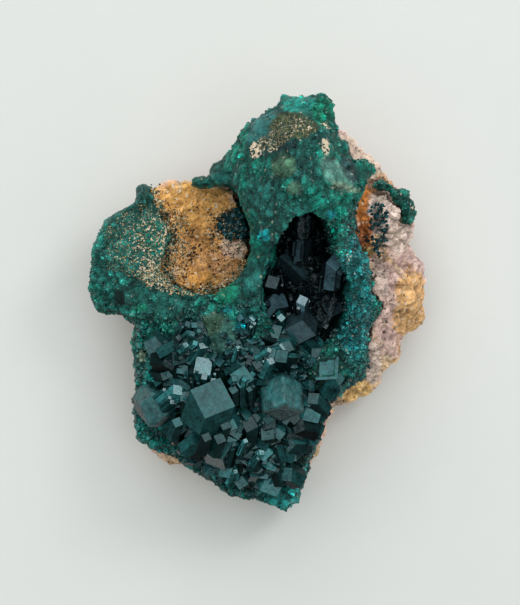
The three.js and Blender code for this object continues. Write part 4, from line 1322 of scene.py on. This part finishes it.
class SPECIMEN_OT_druse(bpy.types.Operator):
    """Set small crystals over the crust and in the rock's clefts"""

    bl_idname = "specimen.druse"
    bl_label = "Druse"

    def execute(self, context):
        for name, skin, middle, reach, count, radii, lean, light, seed in DRUSES:
            draw = np.random.default_rng(seed)
            mesh = bpy.data.objects[skin].data
            points = read_points(mesh)
            if middle is None:
                weight = beside(points, bpy.data.objects["crust_skin"].data)
            else:
                distance = plan_distance(points, middle, reach)
                distance += 0.3 * soft_noise(points, 1.4, seed) * (count < RAGGED_COUNT)
                slopes = STUBS_SLOPES if name == "field_stubs" else DRUSE_SLOPES
                weight = (1 - fade(distance, 0.85, 1.1)) * fade(read_normals(mesh)[:, 2], *slopes)
                weight *= ~inside_crystals(points, FIELD_CRYSTALS + HOLLOW_CRYSTALS, 0.1)
            if skin == "crust_skin":
                calm = patches_mask(points, CALM_PATCHES, CALM_SEED)
                weight *= 1 - np.maximum(calm, patches_mask(points, CREAM_PATCHES, CREAM_SEED))
            # The druse takes its tones from the skin, with the skin's painted shade
            place, normal, tones = surface_draw(mesh, count, weight + 1e-9, draw)
            if name in DARK_DRUSES:
                tones = np.tile(DARK_DRUSE_TONE, (count, 1))
            corners = druse_corners(place, normal, radii, lean, draw)
            tones = tones * draw.uniform(0.6, 1.5, (count, 1)) * light * 1.3
            made = crystals_mesh(name, corners, tones, draw.uniform(0.1, 0.6, count), draw)
            slot = "dark_dioptase" if skin == "hollow_bed" else "dioptase"
            finished(fresh(name, made), None, slot)
        return {"FINISHED"}


class SPECIMEN_OT_crystals(bpy.types.Operator):
    """Set the large crystals on the crust's front"""

    bl_idname = "specimen.crystals"
    bl_label = "Large crystals"

    def execute(self, context):
        look = context.scene.specimen_look
        draw = np.random.default_rng(FIELD_SEED)
        material = crystal_material()
        side_material()
        crisp = [entry for entry in FIELD_CRYSTALS if entry[-1] < WORN_FROST]
        worn = [entry for entry in FIELD_CRYSTALS if entry[-1] >= WORN_FROST]
        fillers = filling_crystals(FIELD_CRYSTALS, draw)
        for name, entries in (("field_crystals", crisp), ("fillers", fillers)):
            companions = name == "field_crystals"
            corners, tones, frosts = large_crystals(entries, look.crystal, draw, companions)
            mesh = crystals_mesh(name, corners, tones, frosts, draw)
            finished(bevelled(name, mesh, look.bevel), None, "dioptase")
        finished(worn_lumps("worn_crystals", worn, look.crystal), material, "dioptase")
        return {"FINISHED"}


class SPECIMEN_OT_hollow(bpy.types.Operator):
    """Line the hollow with its crystals, dark in their own colour and in painted shade"""

    bl_idname = "specimen.hollow"
    bl_label = "Hollow crystals"

    def execute(self, context):
        look = context.scene.specimen_look
        bed = even_skin("hollow_crystals", look.skin, "hollow_bed")
        points, normals = surface(bed.data)
        rise = 0.3 * soft_noise(points, 0.8, 8) - 0.5
        write_points(bed.data, points + normals * rise[:, None])
        # Near black: the bed's own dark colour and painted shade deep in the hollow
        write_colour(bed.data, "tone", np.tile(tone(4, 15, 18), (len(points), 1)))
        write_value(bed.data, "frost", np.ones(len(points)))
        finished(bed, bpy.data.materials[END_MATERIAL], "dark_dioptase", "hollow_crystals")
        draw = np.random.default_rng(HOLLOW_SEED)
        corners, tones, frosts = large_crystals(HOLLOW_CRYSTALS, look.dark_crystal, draw)
        mesh = crystals_mesh("hollow_prisms", corners, tones, frosts, draw)
        finished(bevelled("hollow_prisms", mesh, look.bevel), None, "dark_dioptase")
        return {"FINISHED"}


class SPECIMEN_OT_grains(bpy.types.Operator):
    """Strew small grains over the arm, the bare rock and the dome's crown"""

    bl_idname = "specimen.grains"
    bl_label = "Grains"

    def execute(self, context):
        material = grain_material()
        for index, (skin, middle, reach, turn, count, widest, shares, seed) in enumerate(GRAINS):
            draw = np.random.default_rng(seed)
            mesh = bpy.data.objects[skin].data
            points = read_points(mesh)
            inside = patch_share(points, middle, reach, turn, seed) ** 1.5
            upward = fade(read_normals(mesh)[:, 2], 0.0, 0.5)
            weight = inside * upward * (points[:, 2] > GRAINS_FLOOR)
            place, _, _ = surface_draw(mesh, count, weight + 1e-9, draw)
            tones = np.array(GRAIN_TONES)[draw.choice(len(GRAIN_TONES), count, p=shares)]
            tones = tones * draw.uniform(0.75, 1.2, (count, 1))
            made = grains_mesh(f"grains_{index + 1}", place, tones, widest, draw)
            slot = "dioptase" if skin == "crust_skin" else "matrix"
            finished(fresh(made.name, made), material, slot)
        draw = np.random.default_rng(EDGE_SEED)
        skins = [bpy.data.objects[name].data for name in ("crust_skin", "rock_skin")]
        place = edge_places(skins, draw)
        mixed = draw.choice(len(GRAIN_TONES), EDGE_GRAINS, p=EDGE_SHARES)
        light = draw.choice(len(GRAIN_TONES), EDGE_GRAINS, p=EDGE_LIGHT_SHARES)
        kind = np.where(place[:, 1] > EDGE_TURN_Y, mixed, light)
        tones = np.array(GRAIN_TONES)[kind] * draw.uniform(0.75, 1.2, (EDGE_GRAINS, 1))
        made = grains_mesh("edge_grains", place, tones, EDGE_RADIUS, draw)
        finished(fresh(made.name, made), material, "matrix")
        return {"FINISHED"}


class SPECIMEN_OT_stage(bpy.types.Operator):
    """Lay the floor, and set the lights and the camera"""

    bl_idname = "specimen.stage"
    bl_label = "Stage"

    def execute(self, context):
        scene = context.scene
        stage = scene.specimen_stage
        mesh = bpy.data.meshes.new("floor")
        angles = [2 * math.pi * k / FLOOR_SIDES for k in range(FLOOR_SIDES)]
        ring = [(FLOOR_RADIUS * math.cos(a), FLOOR_RADIUS * math.sin(a), 0) for a in angles]
        mesh.from_pydata(ring, [], [tuple(range(FLOOR_SIDES))])
        mesh.materials.append(floor_material())
        fresh("floor", mesh)
        world = scene.world or bpy.data.worlds.new("Studio")
        scene.world = world
        world.use_nodes = True
        sky = world.node_tree.nodes["Background"]
        sky.inputs["Color"].default_value = SKY_COLOUR
        sky.inputs["Strength"].default_value = stage.sky
        for name, place, width, power in LIGHTS:
            self.area_light(scene, name, place, width, getattr(stage, power))
        camera = bpy.data.objects.new("camera", bpy.data.cameras.new("camera"))
        scene.collection.objects.link(camera)
        camera.location = (*CAMERA_OVER, stage.camera_height)
        camera.data.lens = stage.lens
        camera.data.sensor_width = CAMERA_SENSOR
        camera.data.clip_start = CAMERA_NEAREST
        scene.camera = camera
        scene.view_settings.view_transform = "Standard"
        return {"FINISHED"}

    def area_light(self, scene, name, place, width, power):
        """A square light at a place, turned to the specimen."""
        lamp = bpy.data.lights.new(name, "AREA")
        lamp.size = width
        lamp.energy = power
        made = bpy.data.objects.new(name, lamp)
        made.location = place
        way = Vector(LIGHTS_AIM) - Vector(place)
        made.rotation_euler = way.to_track_quat("-Z", "Y").to_euler()
        scene.collection.objects.link(made)


OPERATORS = (
    SPECIMEN_OT_crust,
    SPECIMEN_OT_rock,
    SPECIMEN_OT_edge,
    SPECIMEN_OT_crystals,
    SPECIMEN_OT_hollow,
    SPECIMEN_OT_druse,
    SPECIMEN_OT_grains,
    SPECIMEN_OT_stage,
)


class SPECIMEN_PT_build(bpy.types.Panel):
    """Lists the pieces of the specimen in the order they are built."""

    bl_idname = "SPECIMEN_PT_build"
    bl_label = "Dioptase specimen"
    bl_space_type = "VIEW_3D"
    bl_region_type = "UI"
    bl_category = "Specimen"

    def draw(self, context):
        for group in (context.scene.specimen_look, context.scene.specimen_stage):
            for key in group.bl_rna.properties.keys():
                if key not in ("rna_type", "name"):
                    self.layout.prop(group, key)
        for operator in OPERATORS:
            self.layout.operator(operator.bl_idname)


CLASSES = (SpecimenLook, SpecimenStage, *OPERATORS, SPECIMEN_PT_build)


def register():
    """Registers the classes and keeps the settings on the scene."""
    for made in CLASSES:
        bpy.utils.register_class(made)
    bpy.types.Scene.specimen_look = bpy.props.PointerProperty(type=SpecimenLook)
    bpy.types.Scene.specimen_stage = bpy.props.PointerProperty(type=SpecimenStage)


def unregister():
    """Takes back what register added."""
    del bpy.types.Scene.specimen_stage
    del bpy.types.Scene.specimen_look
    for made in reversed(CLASSES):
        bpy.utils.unregister_class(made)


def main():
    """Builds the specimen and its stage."""
    register()
    for operator in OPERATORS:
        group, name = operator.bl_idname.split(".")
        getattr(getattr(bpy.ops, group), name)()


if __name__ == "__main__":
    main()
